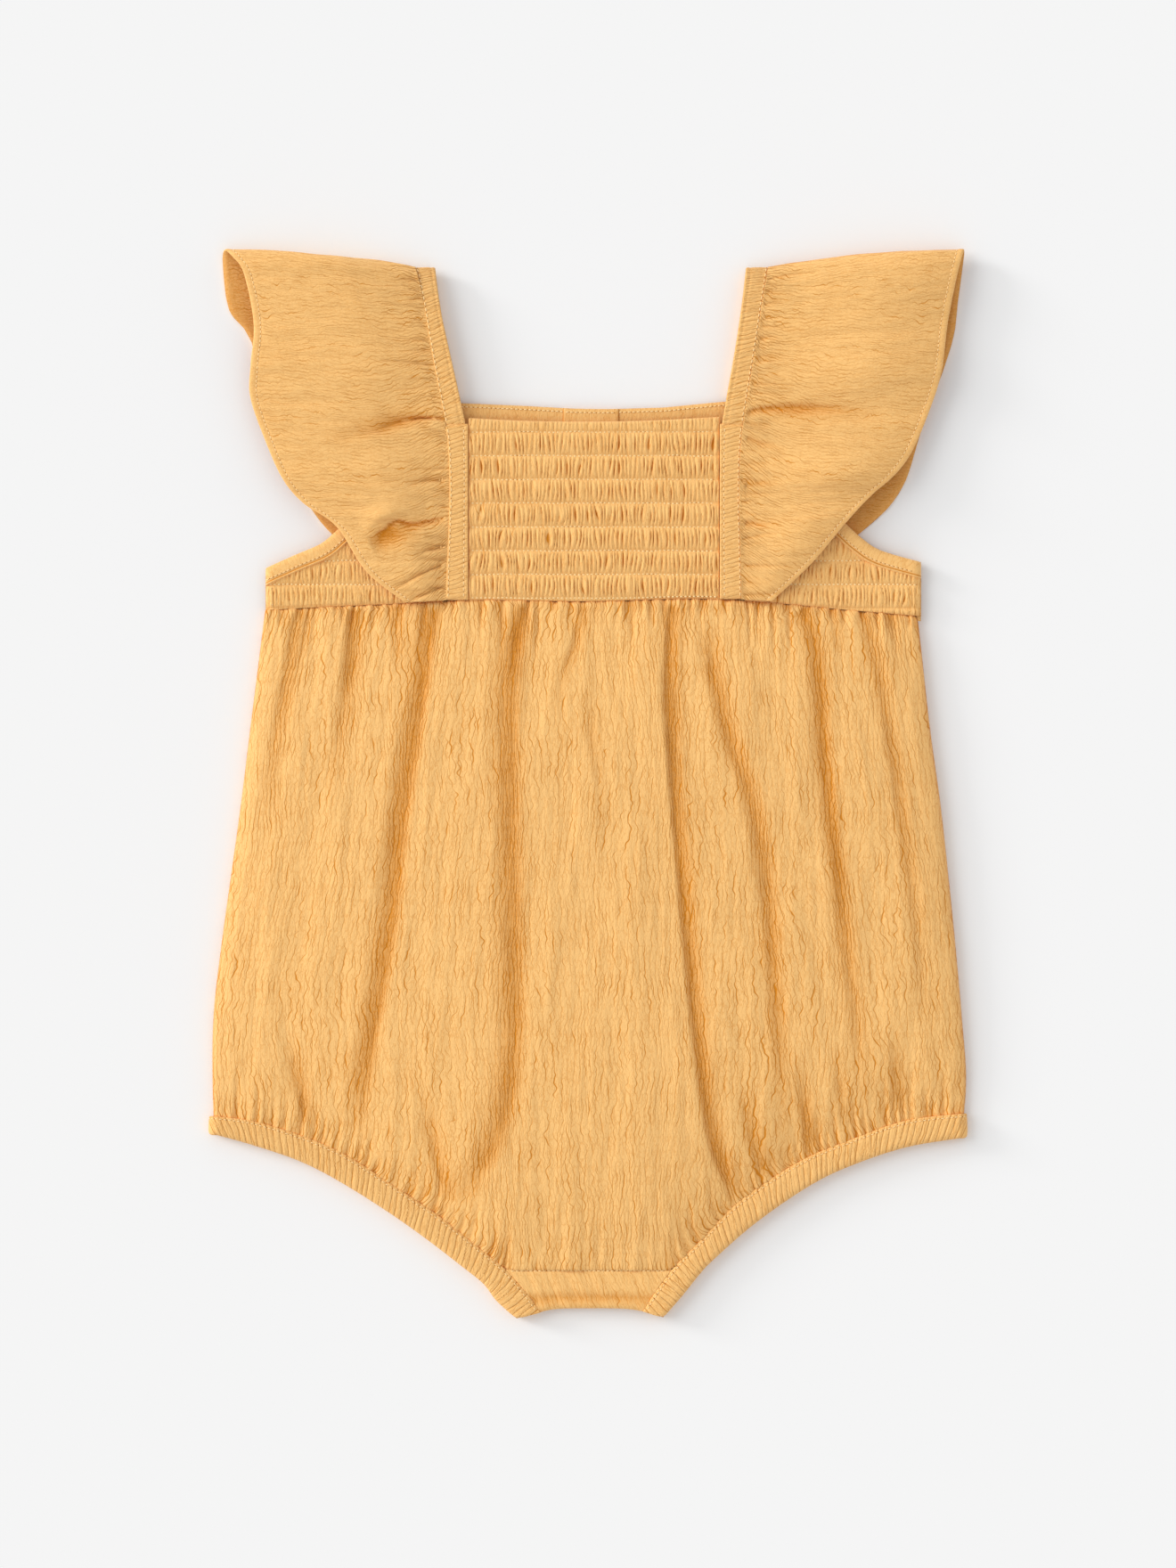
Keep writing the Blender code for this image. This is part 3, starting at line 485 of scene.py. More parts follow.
def creases_of(gather, crinkle, depth):
    """The three numbers that the material reads: nought along each gather and past 1 between them, where it
    paints shade along the gather; how strong the crinkle is; and how deep in a fold the cloth lies, which
    it paints as shade."""
    return points(np.clip(gather, -UNGATHERED, UNGATHERED), crinkle, np.clip(depth, 0, 1))


def cut_of(across, lengthwise):
    return np.stack([across, lengthwise], 1)


def spread(count, ease=0.0):
    """Places from 0 to 1, closer together near the ends where ease is more than nought."""
    t = np.linspace(0, 1, count + 1)
    return t - ease * np.sin(2 * np.pi * t) / (2 * np.pi)


def grid_faces(columns, rows, start):
    first = (np.arange(rows)[:, None] * (columns + 1) + np.arange(columns)).ravel() + start
    return np.stack([first, first + 1, first + columns + 2, first + columns + 1], 1)


def grid_border(columns, rows, start):
    """The numbers of the points round a grid, once round."""
    wide = columns + 1
    low = np.arange(columns)
    right = np.arange(rows) * wide + columns
    high = rows * wide + columns - np.arange(columns)
    left = (rows - np.arange(rows)) * wide
    return np.concatenate([low, right, high, left]) + start


def link_piece(name, mesh):
    piece = bpy.data.objects.new(name, mesh)
    bpy.context.scene.collection.objects.link(piece)
    return piece


def make_cloth(name, form, us, vs, material, coarse=4):
    """A closed shell: a fine outer face, an inner face with fewer points, and the edge between them."""
    v, u = (part.ravel() for part in np.meshgrid(vs, us, indexing="ij"))
    outer, creases, cut = face_of(form, u, v, 1)
    v, u = (part.ravel() for part in np.meshgrid(vs[::coarse], us[::coarse], indexing="ij"))
    inner, inner_creases, inner_cut = face_of(form, u, v, -1)
    columns, rows = len(us) - 1, len(vs) - 1
    few, low = columns // coarse, rows // coarse
    faces = grid_faces(columns, rows, 0).tolist()
    faces += grid_faces(few, low, len(outer))[:, ::-1].tolist()
    outer_rim, inner_rim = grid_border(columns, rows, 0), grid_border(few, low, len(outer))
    for number, start in enumerate(inner_rim):
        run_of = [outer_rim[(number * coarse + step) % len(outer_rim)] for step in range(coarse + 1)]
        faces.append([*run_of[::-1], start, inner_rim[(number + 1) % len(inner_rim)]])
    mesh = bpy.data.meshes.new(name)
    mesh.from_pydata(np.concatenate([outer, inner]) * MM, [], faces)
    bm = bmesh.new()
    bm.from_mesh(mesh)
    if bm.calc_volume(signed=True) < 0:
        bmesh.ops.reverse_faces(bm, faces=bm.faces[:])
        bm.to_mesh(mesh)
    bm.free()
    places = np.concatenate([cut, inner_cut]) * MM
    corners = np.empty(len(mesh.loops), np.int32)
    mesh.loops.foreach_get("vertex_index", corners)
    mesh.uv_layers.new(name="cloth").uv.foreach_set("vector", places[corners].ravel().astype(np.float32))
    creases = np.concatenate([creases, inner_creases]).ravel().astype(np.float32)
    mesh.attributes.new("creases", "FLOAT_VECTOR", "POINT").data.foreach_set("vector", creases)
    mesh.materials.append(material)
    mesh.shade_smooth()
    return link_piece(name, mesh)


# A sheet of cloth as it is cut: the solid that it stands for, its flat size in millimetres, how it is held,
# what it rests on, and how much of that size the layer that shows takes up, if not all of it
Sheet = namedtuple("Sheet", "node flat held rests_on area slot", defaults=(None, "crinkle_cotton"))


def make_sheet(name, form, us, vs, material, sheet):
    """A piece of cloth that takes the place of its solid."""
    piece = make_cloth(name, form, us, vs, material)
    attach(piece, "root")
    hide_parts(sheet.node)


# The body

PUFF_SHARE, PUFF_EASE, PUFF_SEAM = 0.96, 7.0, 1.4
SEAM_REACH, SEAM_LEAST = 6.0, 0.2
HUMP_HEIGHT, HUMPS_ACROSS, HUMPS_ALONG, HUMP_EASE = 0.8, 24, 5, 12.0
WAIST_DIP, WAIST_DIP_REACH, LEG_RISE, LEG_RISE_REACH = 0.7, 0.9, 0.6, 5.0
WAIST_DRAWN, LEG_DRAWN = 9.0, 8.0
LEG_GATHER_SHARES = (0.03, 0.39), (0.61, 0.97)


def leg_line():
    """The lower edge of the body, along the inner edges of the casings and across the crotch."""
    crotch_y = CROTCH_LINE[0][1]
    left, right = (
        [tuple(row[:2]) for row in curve_through(side.casing, 4) if row[1] > crotch_y] for side in SIDES)
    return [CORNER_LEFT, *left[::-1], *CROTCH_LINE, *right, CORNER_RIGHT]


LEG_LINE = leg_line()


def end_places(u):
    """Where the line at u across the body meets the waist, and where it meets the legs."""
    return mix(WAIST[0][0], WAIST[-1][0], u), mix(CORNER_LEFT[0], CORNER_RIGHT[0], u)


def body_plan(u, v):
    top_x, low_x = end_places(u)
    y = mix(run(LEG_LINE, low_x) - LEG_SEAM_LAP, read(WAIST, top_x), v)
    return mix(read(SIDE_LEFT, y), read(SIDE_RIGHT, y), u), y


def body_reach(u, v):
    """How far a place on the body is from the side seams, from the waist and from the legs."""
    top_x, low_x = end_places(u)
    tall = read(WAIST, top_x) - run(LEG_LINE, low_x)
    return np.minimum(u, 1 - u) * (CORNER_RIGHT[0] - CORNER_LEFT[0]), (1 - v) * tall, v * tall


def leg_lean(u):
    """How far the gathers above a leg lean, so that they meet its casing squarely."""
    low_x, near = end_places(u)[1], 6
    return LEAN * (run(LEG_LINE, low_x - near) - run(LEG_LINE, low_x + near)) / (2 * near)


def leaned(up):
    """How far gathers of lean 1 have shifted sideways at this height above a leg."""
    return LEAN_HEIGHT * (1 - np.exp(-up / LEAN_HEIGHT))


def body_gathers():
    """The small gathers below the waist and above the legs, uneven in length and depth."""
    rng = np.random.default_rng(41)
    made = []
    for u in (np.arange(WAIST_GATHERS) + rng.uniform(0.1, 0.9, WAIST_GATHERS)) / WAIST_GATHERS:
        length = rng.uniform(6, 30) if rng.random() < 0.35 else rng.uniform(4, 12)
        across = np.full(3, u) + rng.uniform(-0.003, 0.003, 3) * (0, 0.6, 1)
        down = 1 - np.array((-0.5, length * 0.5, length)) / BODY_LENGTH
        path = tuple(zip(*body_plan(across, down)))
        widths = rng.uniform(0.7, 1.5), rng.uniform(0.6, 1.1)
        made.append(Crease(path, *widths, rng.uniform(0.4, 1.1), 0.05, 0.8))
    for low, high in LEG_GATHER_SHARES:
        for u in np.linspace(low, high, LEG_GATHERS) + rng.uniform(-0.004, 0.004, LEG_GATHERS):
            x, y = (float(part[0]) for part in body_plan(np.array([u]), np.array([0.0])))
            lean, length = float(leg_lean(np.array([u]))[0]), rng.uniform(6, 22)
            up = np.array((-0.5, 0.4 * length, length))
            path = tuple(zip(x + lean * leaned(up), y + up))
            widths = rng.uniform(0.7, 1.4), rng.uniform(0.6, 1.1)
            made.append(Crease(path, *widths, rng.uniform(0.5, 1.1), 0.05, 0.8))
    return made


BODY_GATHERS = body_gathers()


def front_middle(u, v):
    x, y = body_plan(u, v)
    to_side, to_waist, to_leg = body_reach(u, v)
    rest = mix(run(LEG_HEIGHTS, u), run(WAIST_HEIGHTS, u), v**6) + BODY_CLOTH
    puff = (BODY_PUFF - SIDE_RISE) * (1 - (2 * u - 1) ** 2) + SIDE_RISE * rounded(to_side / PUFF_EASE)
    puff *= PUFF_SHARE * (1 - (2 * v - 1) ** 4)
    seam = np.minimum(1, np.minimum(to_waist, to_leg) / SEAM_REACH + SEAM_LEAST)
    sunk = FOLD_FALL * sink(BODY_CREASES, x, y) * seam + sink(BODY_GATHERS, x, y)
    soft = HUMP_HEIGHT * noise(u * HUMPS_ACROSS, v * HUMPS_ALONG, 5) * np.minimum(1, to_side / HUMP_EASE)
    lowest = np.minimum(rest - 0.4, BACK_BODICE_Z + 2.2)
    z = np.maximum(rest + puff + soft - sunk, lowest)
    z += LEG_RISE * furrow(to_leg / LEG_RISE_REACH) - WAIST_DIP * furrow(to_waist / WAIST_DIP_REACH)
    z = mix(SIDE_EDGE_Z, z, rounded(to_side / PUFF_SEAM))
    return points(x, y, z - cloth().thickness / MM / 2)


def body_cut(u, y, to_leg):
    """Places on the cut cloth of the body. It fans out from the waist and meets the casings squarely."""
    return (u - 0.5) * CUT_WIDTH - leg_lean(u) * leaned(to_leg), y


def front_relief(u, v):
    x, y = body_plan(u, v)
    to_side, to_waist, to_leg = body_reach(u, v)
    across, lengthwise = body_cut(u, y, to_leg)
    fold, fold_cloth = folds(BODY_CREASES, x, y, FOLD_CLOTH_REACH, FOLD_SHADE_WIDTH)
    # deep is painted shade: in the folds and gathers, and along the side edge where the cloth rolls under.
    # The crinkle's painted lines are stronger deep in a fold too.
    deep = (fold + sink(BODY_GATHERS, x, y)) / FOLD_DEEPEST + 0.5 * np.exp(-to_side / 0.9)
    drawn_up = np.exp(-to_waist / WAIST_DRAWN) + np.exp(-to_leg / LEG_DRAWN)
    height = soft_waves(across, y, 11) * (1 + drawn_up)
    crinkle = 1 + 0.5 * drawn_up + 0.9 * np.minimum(deep, 1)
    return height, creases_of(UNGATHERED, crinkle, deep), cut_of(across + fold_cloth, lengthwise)


def body_forms():
    thin = cloth().thickness / MM

    def back_middle(u, v):
        return points(*body_plan(u, v), thin / 2)

    def back_relief(u, v):
        across, y = body_cut(1 - u, body_plan(u, v)[1], body_reach(u, v)[2])
        height = np.minimum(soft_waves(across, y, 61) - 0.05, 0)
        return height, creases_of(UNGATHERED, 1, 0), cut_of(across, y)

    return Form(front_middle, front_relief, UP, thin), Form(back_middle, back_relief, DOWN, thin)


def make_body():
    front, back = body_forms()
    cotton = crinkled_cotton("body_cotton")
    make_sheet("front_cloth", front, spread(480, 0.15), spread(176, 0.3), cotton,
               Sheet("body_front", (350, 262), "gathered", ["back_cloth"], 0.80))
    make_sheet("back_cloth", back, spread(200), spread(72), cotton,
               Sheet("body_back", (300, 262), "laid", [], 0.80))


# The leg casings and the crotch

CASING_GATHER_PITCH, CASING_GATHER_DEPTH = 2.45, 0.3
CASING_SWELL, CASING_SWELL_REACH = 0.5, 3.4
CASING_EDGE_DROP, CASING_END_DROP = 1.0, 0.9
SEAM_FURROW = 0.15


def casing_form(side):
    """A gathered casing: along the front of the leg, round the side seam and back under itself."""
    front = curve_through(side.casing, 6)
    turn = np.linspace(0, np.pi, 9)[1:-1]
    middle_z, half = (CASING_FRONT_Z + CASING_BACK_Z) / 2, (CASING_FRONT_Z - CASING_BACK_Z) / 2
    out = side.way * CASING_FOLD * np.sin(turn)[:, None] * (1, 0, 1, 0)
    ends = [np.full(len(front), z) for z in (CASING_FRONT_Z, CASING_BACK_Z)]
    heights = np.concatenate([ends[0], middle_z + half * np.cos(turn), ends[1]])
    sections = np.column_stack([np.concatenate([front, front[-1] + out, front[::-1]]), heights])
    steps = np.linalg.norm(np.diff((sections[:, :2] + sections[:, 2:4]) / 2, axis=0), axis=1)
    lengths = np.concatenate([[0], np.cumsum(steps + np.abs(np.diff(heights)))])
    total, front_end = lengths[-1], lengths[len(front) - 1]

    def middle(u, v):
        inner_x, inner_y, outer_x, outer_y, z = (np.interp(u * total, lengths, part) for part in sections.T)
        across = 1 - (1 - outward(side, v)) * (0.8 + 0.2 * rounded(u * total / 1.6))
        return points(mix(outer_x, inner_x, across), mix(outer_y, inner_y, across), z)

    def relief(u, v):
        place, share = u * total, outward(side, v)
        to_outer, to_inner = share * CASING_WIDTH, (1 - share) * CASING_WIDTH
        shifted = place - CASING_LEAN * to_outer
        q = gathers(shifted, to_outer, CASING_GATHER_PITCH, 72 - side.seed // 2)
        q = q / np.clip(0.7 + 1.5 * noise(shifted / 3.1, share * 1.4, 73), 0.15, 1.4)
        on_front = np.clip((front_end + 3 - place) / 3, 0.25, 1)
        swell = CASING_SWELL * rounded(np.minimum(to_outer, to_inner) / CASING_SWELL_REACH)
        height = (0.25 + swell - CASING_GATHER_DEPTH * furrow(q * 1.1)) * on_front
        height -= CASING_EDGE_DROP * lip(to_outer / 2.2) + 0.15 * lip(to_inner / 0.6)
        height -= SEAM_FURROW * furrow((to_inner - CASING_SEAM) / 0.4)
        height -= CASING_END_DROP * lip(np.minimum(place, total - place) / 1.5)
        # Painted shade in the furrow along the casing's seam, and, through the first number, along its
        # gathers
        deep = 0.2 * furrow((to_inner - CASING_SEAM) / 0.5)
        return height, creases_of(q * 2.4, 0.8, deep), cut_of(shifted, to_outer)

    return Form(middle, relief, None, CASING_THICK)


def flap_plan(u, v):
    """A crotch flap fills the space between the ends of the two casings."""
    y = mix(FLAP_LOW_Y - mix(FLAP_BOW_LEFT, FLAP_BOW_RIGHT, u) * (2 * u - 1) ** 4, CROTCH_Y, v)
    edges = (curve_through(side.casing, 4) for side in SIDES)
    left, right = (np.interp(y, edge[:, 1], edge[:, 0]) for edge in edges)
    return mix(left, right, u), y


def flap_forms():
    tall = CROTCH_Y - FLAP_LOW_Y

    def front_flap(u, v):
        x, y = flap_plan(u, v)
        drop = 1.6 * lip(v * tall / 2.4) + 0.3 * furrow((1 - v) * tall / 0.8)
        drop += 0.5 * furrow((v * tall - FLAP_FOLD) / 1.7)
        return points(x, y, FLAP_FRONT_Z + 0.2 + FLAP_FRONT_CLOTH / 2 - drop)

    def front_face(u, v):
        x, y = flap_plan(u, v)
        # deep is painted shade in the soft fold across the flap
        across, deep = x + 0.35 * y, 0.42 * furrow((v * FLAP_SHADE_LENGTH - FLAP_FOLD) / 2.2)
        return soft_waves(across, y, 81), creases_of(UNGATHERED, 0.7, deep), cut_of(across, y)

    def back_flap(u, v):
        return points(*flap_plan(u, v), FLAP_BACK_Z)

    def back_face(u, v):
        x, y = flap_plan(u, v)
        return np.minimum(soft_waves(x, y, 83), 0), creases_of(UNGATHERED, 1, 0), cut_of(x, y)

    front = Form(front_flap, front_face, UP, FLAP_FRONT_CLOTH)
    return front, Form(back_flap, back_face, DOWN, INSIDE_CLOTH)


def make_legs():
    cotton = crinkled_cotton("casing_cotton")
    for side in SIDES:
        make_sheet(f"leg_band_{side.name}", casing_form(side), spread(1360), spread(12, 0.4), cotton,
                   Sheet(f"leg_casing_{side.name}", (420, 22), "gathered", ["back_cloth"], 0.5))
    front, back = flap_forms()
    make_sheet("crotch_front", front, spread(120), spread(32), cotton,
               Sheet("crotch_flap_front", (58, 18), "laid", ["crotch_back"]))
    make_sheet("crotch_back", back, spread(60), spread(16), cotton,
               Sheet("crotch_flap_back", (58, 18), "laid", []))


# The smocked bodice

PUFF_HEIGHT, HEADER_SWELL = 1.15, 0.6
ROW_FURROW, ROW_FURROW_SHARE, PLEAT_DEPTH = 0.3, 0.06, 0.45


def smocking(x, y, first_row_y, seed, header=False):
    """Puffs of cloth between rows of elastic stitching: how high they stand, nought along the dips between
    them, where shade is painted, and how deep those are, which is painted as shade too. A header stands
    above the first row."""
    place = (first_row_y - y) / SMOCK_PITCH
    band = np.floor(place)
    share = place - band
    swell = np.sin(np.pi * share)
    phase = x / RIDGE_PITCH + 0.8 * noise(x / 3.6, band * 7.3 + 0.25 * share, seed)
    phase += 1.6 * (share - 0.5) * noise(x / 6, band * 3.7, seed + 1)
    phase += 1.0 * swell * noise(x / 3.4, band * 5.9, seed + 2)
    uneven = 0.6 + 1.5 * noise(x / 1.8, band * 9.1 + 0.9 * share, seed + 3)
    if header:
        above = place < 0
        swell = np.where(above, HEADER_SWELL * (1 - np.exp(place * SMOCK_PITCH)), swell)
        uneven = np.where(above, uneven * 0.5, uneven)
    swell = np.clip(swell, 0, 1)
    wave = np.abs(np.sin(np.pi * phase))
    opened = np.clip(uneven, 0.05, 1.1) * swell**1.4
    height = PUFF_HEIGHT * swell**0.8 * (1 - np.clip(0.35 + 0.5 * uneven, 0.1, 0.9) * (1 - wave**0.7))
    height -= ROW_FURROW * (furrow(share / ROW_FURROW_SHARE) + furrow((share - 1) / ROW_FURROW_SHARE))
    height -= PLEAT_DEPTH * opened * furrow(wave * 3)
    return height, wave / (0.4 * opened + 0.03), 0.4 * opened * (1 - wave)


def centre_form():
    def plan(u, v):
        x = mix(CENTRE_LEFT, CENTRE_RIGHT, u)
        return x, mix(read(WAIST, x), read(FRONT_NECK, x), v)

    def middle(u, v):
        return points(*plan(u, v), FRONT_Z + SMOCKED_CLOTH / 2)

    def relief(u, v):
        x, y = plan(u, v)
        height, dips, deep = smocking(x, y, CENTRE_ROW_Y, 31, header=True)
        edge = np.minimum(np.minimum(u, 1 - u) * CENTRE_WIDTH, np.minimum(v, 1 - v) * CENTRE_LENGTH) / 0.9
        height = height * rounded(edge) + 0.15 - 0.6 * lip(edge)
        return height, creases_of(dips, 0.7, deep), cut_of(SMOCK_FULLNESS * x, y)

    return Form(middle, relief, UP, SMOCKED_CLOTH)


def side_underside(side, x):
    """The height of a side front: high at the band, low at the side seam."""
    return mix(SIDE_SEAM_Z, SIDE_BAND_Z, (x - side.edge_x) / (side.band_x - side.edge_x))


def side_form(side):
    edge = curve_through(side.armhole, 8)
    outer_x = edge[0 if side is LEFT else -1, 0]

    def plan(u, v):
        x = mix(edge[0, 0], edge[-1, 0], u)
        return x, mix(read(WAIST, x), np.interp(x, edge[:, 0], edge[:, 1]), v)

    def middle(u, v):
        x, y = plan(u, v)
        return points(x, y, side_underside(side, x) + SOLID_CLOTH / 2)

    def relief(u, v):
        x, y = plan(u, v)
        height, dips, deep = smocking(x, y, SIDE_ROW_Y, 33 + side.seed)
        to_side, to_waist = np.abs(x - outer_x), y - read(WAIST, x)
        height = 0.75 * height * rounded(np.minimum(to_side, to_waist) / 1.2)
        height -= 2.2 * lip(to_side / 3.0) + 0.5 * furrow(to_waist / 0.9)
        return height, creases_of(dips, 0.7, deep), cut_of(SMOCK_FULLNESS * x, y)

    return Form(middle, relief, UP, SMOCKED_CLOTH), plan


def make_smocking():
    cotton = crinkled_cotton("smocked_cotton", line_shade=1.15, depth_shade=0.6)
    backs = ["bodice_back_left", "bodice_back_right"]
    make_sheet("smocked_front", centre_form(), spread(300), spread(128), cotton,
               Sheet("bodice_front", (106, 86), "gathered", backs, slot="smocked_cotton"))
    for side, back in zip(SIDES, backs):
        make_sheet(f"smocked_side_{side.name}", side_form(side)[0], spread(200), spread(76), cotton,
                   Sheet(f"bodice_side_{side.name}", (84, 68), "gathered", [back], 0.52, "smocked_cotton"))


# Bands, straps and facings


def strip_relief(side, width, length, seed, lean, crinkle):
    """A stitched strip: softly rounded, crinkled across, with its edges turned down."""

    def relief(u, v):
        from_edge, from_neck = np.minimum(u, 1 - u) * width, outward(side, u) * width
        place = v * length + lean * u * width
        uneven = np.clip(0.55 + 1.5 * noise(place / 2.6, u * 2, seed + 4), 0.12, 1.2)
        q = gathers(place, u * width, 1.75, seed) / uneven
        height = 0.2 * rounded(from_edge / 3) + 0.5 * soft_waves(place, u * width, seed)
        height -= 0.3 * lip(from_edge / 0.6) + 0.16 * furrow((from_neck - STRIP_INNER_SEAM) / 0.45)
        height -= crinkle * 0.2 * furrow(q * 0.8) * rounded((from_edge - 0.5) / 1.2)
        # Painted shade along each gather of the strip
        dips = np.where(from_edge < 0.6, UNGATHERED, q * 2.2 / crinkle)
        return height, creases_of(dips, 0.8 * crinkle, 0), cut_of(place * STRIP_FULLNESS, u * width)

    return relief


def strip_end(length):
    """How far the end of a strip is turned down, at this length from it."""
    return 0.7 * furrow(length / 0.8)


def band_form(side):
    def middle(u, v):
        y = mix(read(WAIST, np.full(len(v), side.centre_x)), STRAP_JOINT_Y, v)
        edge = read(side.strap, y)
        low, high = np.minimum(edge, side.centre_x), np.maximum(edge, side.centre_x)
        drop = strip_end((1 - v) * BAND_LENGTH) + strip_end(v * BAND_LENGTH)
        return points(mix(low, high, u), y, FRONT_Z + STRIP_CLOTH / 2 - drop)

    relief = strip_relief(side, BAND_WIDTH, BAND_LENGTH, 91 + side.seed, -0.26, 0.9)
    return Form(middle, relief, UP, STRIP_CLOTH)


def strap_form(side):
    def middle(u, v):
        y, z = along(STRAP, v).T
        edges = read(side.strap, y), read(side.strap_neck, y)
        low, high = np.minimum(*edges), np.maximum(*edges)
        return points(mix(low, high, u), y, np.maximum(z, STRAP[-1].z) - strip_end(v * STRAP_LENGTH))

    relief = strip_relief(side, STRAP_WIDTH, STRAP_LENGTH, 95 + side.seed, side.lean, 1.15)
    return Form(middle, relief, None, STRIP_CLOTH)


def facing_forms(side):
    edge = curve_through(side.armhole, 8)
    steps = np.gradient(edge, axis=0)
    out = unit(np.stack([-steps[:, 1], steps[:, 0]], 1))
    t = np.linspace(0, 1, len(edge))
    whole = FACING_WIDTH + FACING_UNDER

    def plan(u, v):
        x, y, out_x, out_y = (np.interp(u, t, part) for part in (*edge.T, *out.T))
        wide = mix(-FACING_UNDER, FACING_WIDTH, v)
        x, y = x + out_x * wide, y + out_y * wide
        inner_x = read(side.strap, y) + 0.2 * side.way
        return side.way * np.clip(side.way * x, side.way * inner_x, side.way * side.edge_x), y

    def front_middle_of(u, v):
        x, y = plan(u, v)
        drop = 1.9 * lip(np.abs(x - side.edge_x) / 2.6)
        return points(x, y, side_underside(side, x) + 1.35 - drop)

    def front_face(u, v):
        height = 0.3 * rounded(v * whole / 1.4) + 0.2 * furrow((v * whole - 0.5) / 0.45)
        height -= 1.5 * lip((1 - v) * whole / 2.2) + 0.8 * lip(v * whole / 0.5)
        height -= 0.28 * furrow((v * whole - 1.35) / 0.45)
        # Painted shade along a line 1 mm in from the facing's edge where v is nought
        return height, creases_of((v * whole - 1.0) / 0.35, 0.45, 0), cut_of(u * FACING_LENGTH, v * whole)

    def back_middle_of(u, v):
        return points(*plan(u, v), BACK_BODICE_Z + SOLID_CLOTH / 2)

    def back_face(u, v):
        cut = cut_of(u * FACING_LENGTH, v * FACING_WIDTH)
        return np.zeros(len(u)), creases_of(UNGATHERED, 0.45, 0), cut

    return (Form(front_middle_of, front_face, UP, FACING_CLOTH),
            Form(back_middle_of, back_face, UP, INSIDE_CLOTH))


def make_strips():
    cotton = crinkled_cotton("band_cotton")
    for side in SIDES:
        front, back = facing_forms(side)
        name, bodice_back = side.name, f"bodice_back_{side.name}"
        make_sheet(f"band_{name}", band_form(side), spread(24, 0.4), spread(160), cotton,
                   Sheet(f"front_band_{name}", (22, 92), "gathered", [bodice_back], 0.35))
        make_sheet(f"shoulder_{name}", strap_form(side), spread(24, 0.4), spread(280), cotton,
                   Sheet(f"strap_{name}", (20, 190), "folded", [bodice_back], 0.35))
        make_sheet(f"armhole_front_{name}", front, spread(96), spread(24, 0.3), cotton,
                   Sheet(f"armhole_facing_front_{name}", (96, 20), "laid", [f"smocked_side_{name}"], 0.4))
        make_sheet(f"armhole_back_{name}", back, spread(64), spread(8), cotton,
                   Sheet(f"armhole_facing_back_{name}", (96, 20), "laid", [], 0.4))


# The back of the bodice


def back_half_form(side):
    neck = [(x, y) for x, y in BACK_NECK if side.way * x > side.way * side.placket_x > 0]
    placket_top = float(read(BACK_NECK, np.array([side.placket_x]))[0])
    armhole = [tuple(row) for row in curve_through(side.armhole, 4)]
    xs, ys = np.array(sorted(armhole + neck + [(side.placket_x, placket_top)])).T

    def plan(u, v):
        x = mix(xs[0], xs[-1], u)
        return x, mix(read(WAIST, x) - BACK_LAP, np.interp(x, xs, ys), v)

    def middle(u, v):
        return points(*plan(u, v), BACK_BODICE_Z + INSIDE_CLOTH / 2)

    def relief(u, v):
        x, y = plan(u, v)
        to_neck = np.interp(x, xs, ys) - y
        height = 0.3 * furrow(np.maximum(0, to_neck - 4) / 0.8) - 0.6 * lip(to_neck / 0.8)
        return height, creases_of(UNGATHERED, 0.5, 0), cut_of(x, y)

    return Form(middle, relief, UP, INSIDE_CLOTH), plan


def placket_form(z, low_y, facing):
    def plan(u, v):
        x = mix(PLACKET_LEFT, PLACKET_RIGHT, u)
        return x, mix(low_y, read(BACK_NECK, x) - 0.1, v)

    def middle(u, v):
        return points(*plan(u, v), z)

    def relief(u, v):
        x, y = plan(u, v)
        from_edge = np.minimum(u, 1 - u) * PLACKET_WIDTH
        height = -0.2 * lip(from_edge / 0.6) - 0.5 * lip((read(BACK_NECK, x) - y) / 1.2)
        # Painted shade along the placket's long edges
        return height, creases_of(from_edge / 0.4, 0.5, 0), cut_of(x, y)

    return Form(middle, relief, facing, PLACKET_CLOTH)


def inner_placket():
    return placket_form(INNER_PLACKET_Z, WAIST_MIDDLE - BACK_LAP, UP)


def make_back():
    # Painted shadow: the inside of the back is darkened and shifted towards the shade colour, as it lies in
    # the front's shade at the neck
    cotton = crinkled_cotton("inside_cotton", overall_shade=0.06, painted_light=0.93)
    for side in SIDES:
        half, _ = back_half_form(side)
        make_sheet(f"bodice_back_cloth_{side.name}", half, spread(112), spread(80), cotton,
                   Sheet(f"bodice_back_{side.name}", (122, 86), "laid", ["back_cloth"], 0.62))
    outer = placket_form(OUTER_PLACKET_Z, WAIST_MIDDLE + 0.3, DOWN)
    make_sheet("placket_outer", outer, spread(32), spread(72), cotton,
               Sheet("back_placket_outer", (22, 76), "laid", []))
    make_sheet("placket_inner", inner_placket(), spread(32), spread(72), cotton,
               Sheet("back_placket_inner", (22, 76), "laid", ["bodice_back_cloth_left"]))


# The flutter sleeves


def seam_gathers(side):
    """The fine gathers of a flutter, from the strap outwards, uneven in length and depth."""
    rng = np.random.default_rng(51 + side.seed)
    made = []
    for y in np.linspace(72, 190, SEAM_GATHERS) + rng.uniform(-1.2, 1.2, SEAM_GATHERS):
        if any(low < y < high for low, high in side.tucked):
            continue
        length = rng.uniform(12, 30) if rng.random() < 0.3 else rng.uniform(5, 13)
        rise, reach = rng.uniform(-0.12, 0.16) * length, side.way * length
        x = float(read(side.strap, np.array([y]))[0])
        path = ((x, y), (x + reach / 2, y + rise * 0.7), (x + reach, y + rise))
        widths = rng.uniform(0.45, 0.9), rng.uniform(0.45, 0.9)
        made.append(Crease(path, *widths, rng.uniform(0.25, 0.65), 0.04, 0.8))
    return made


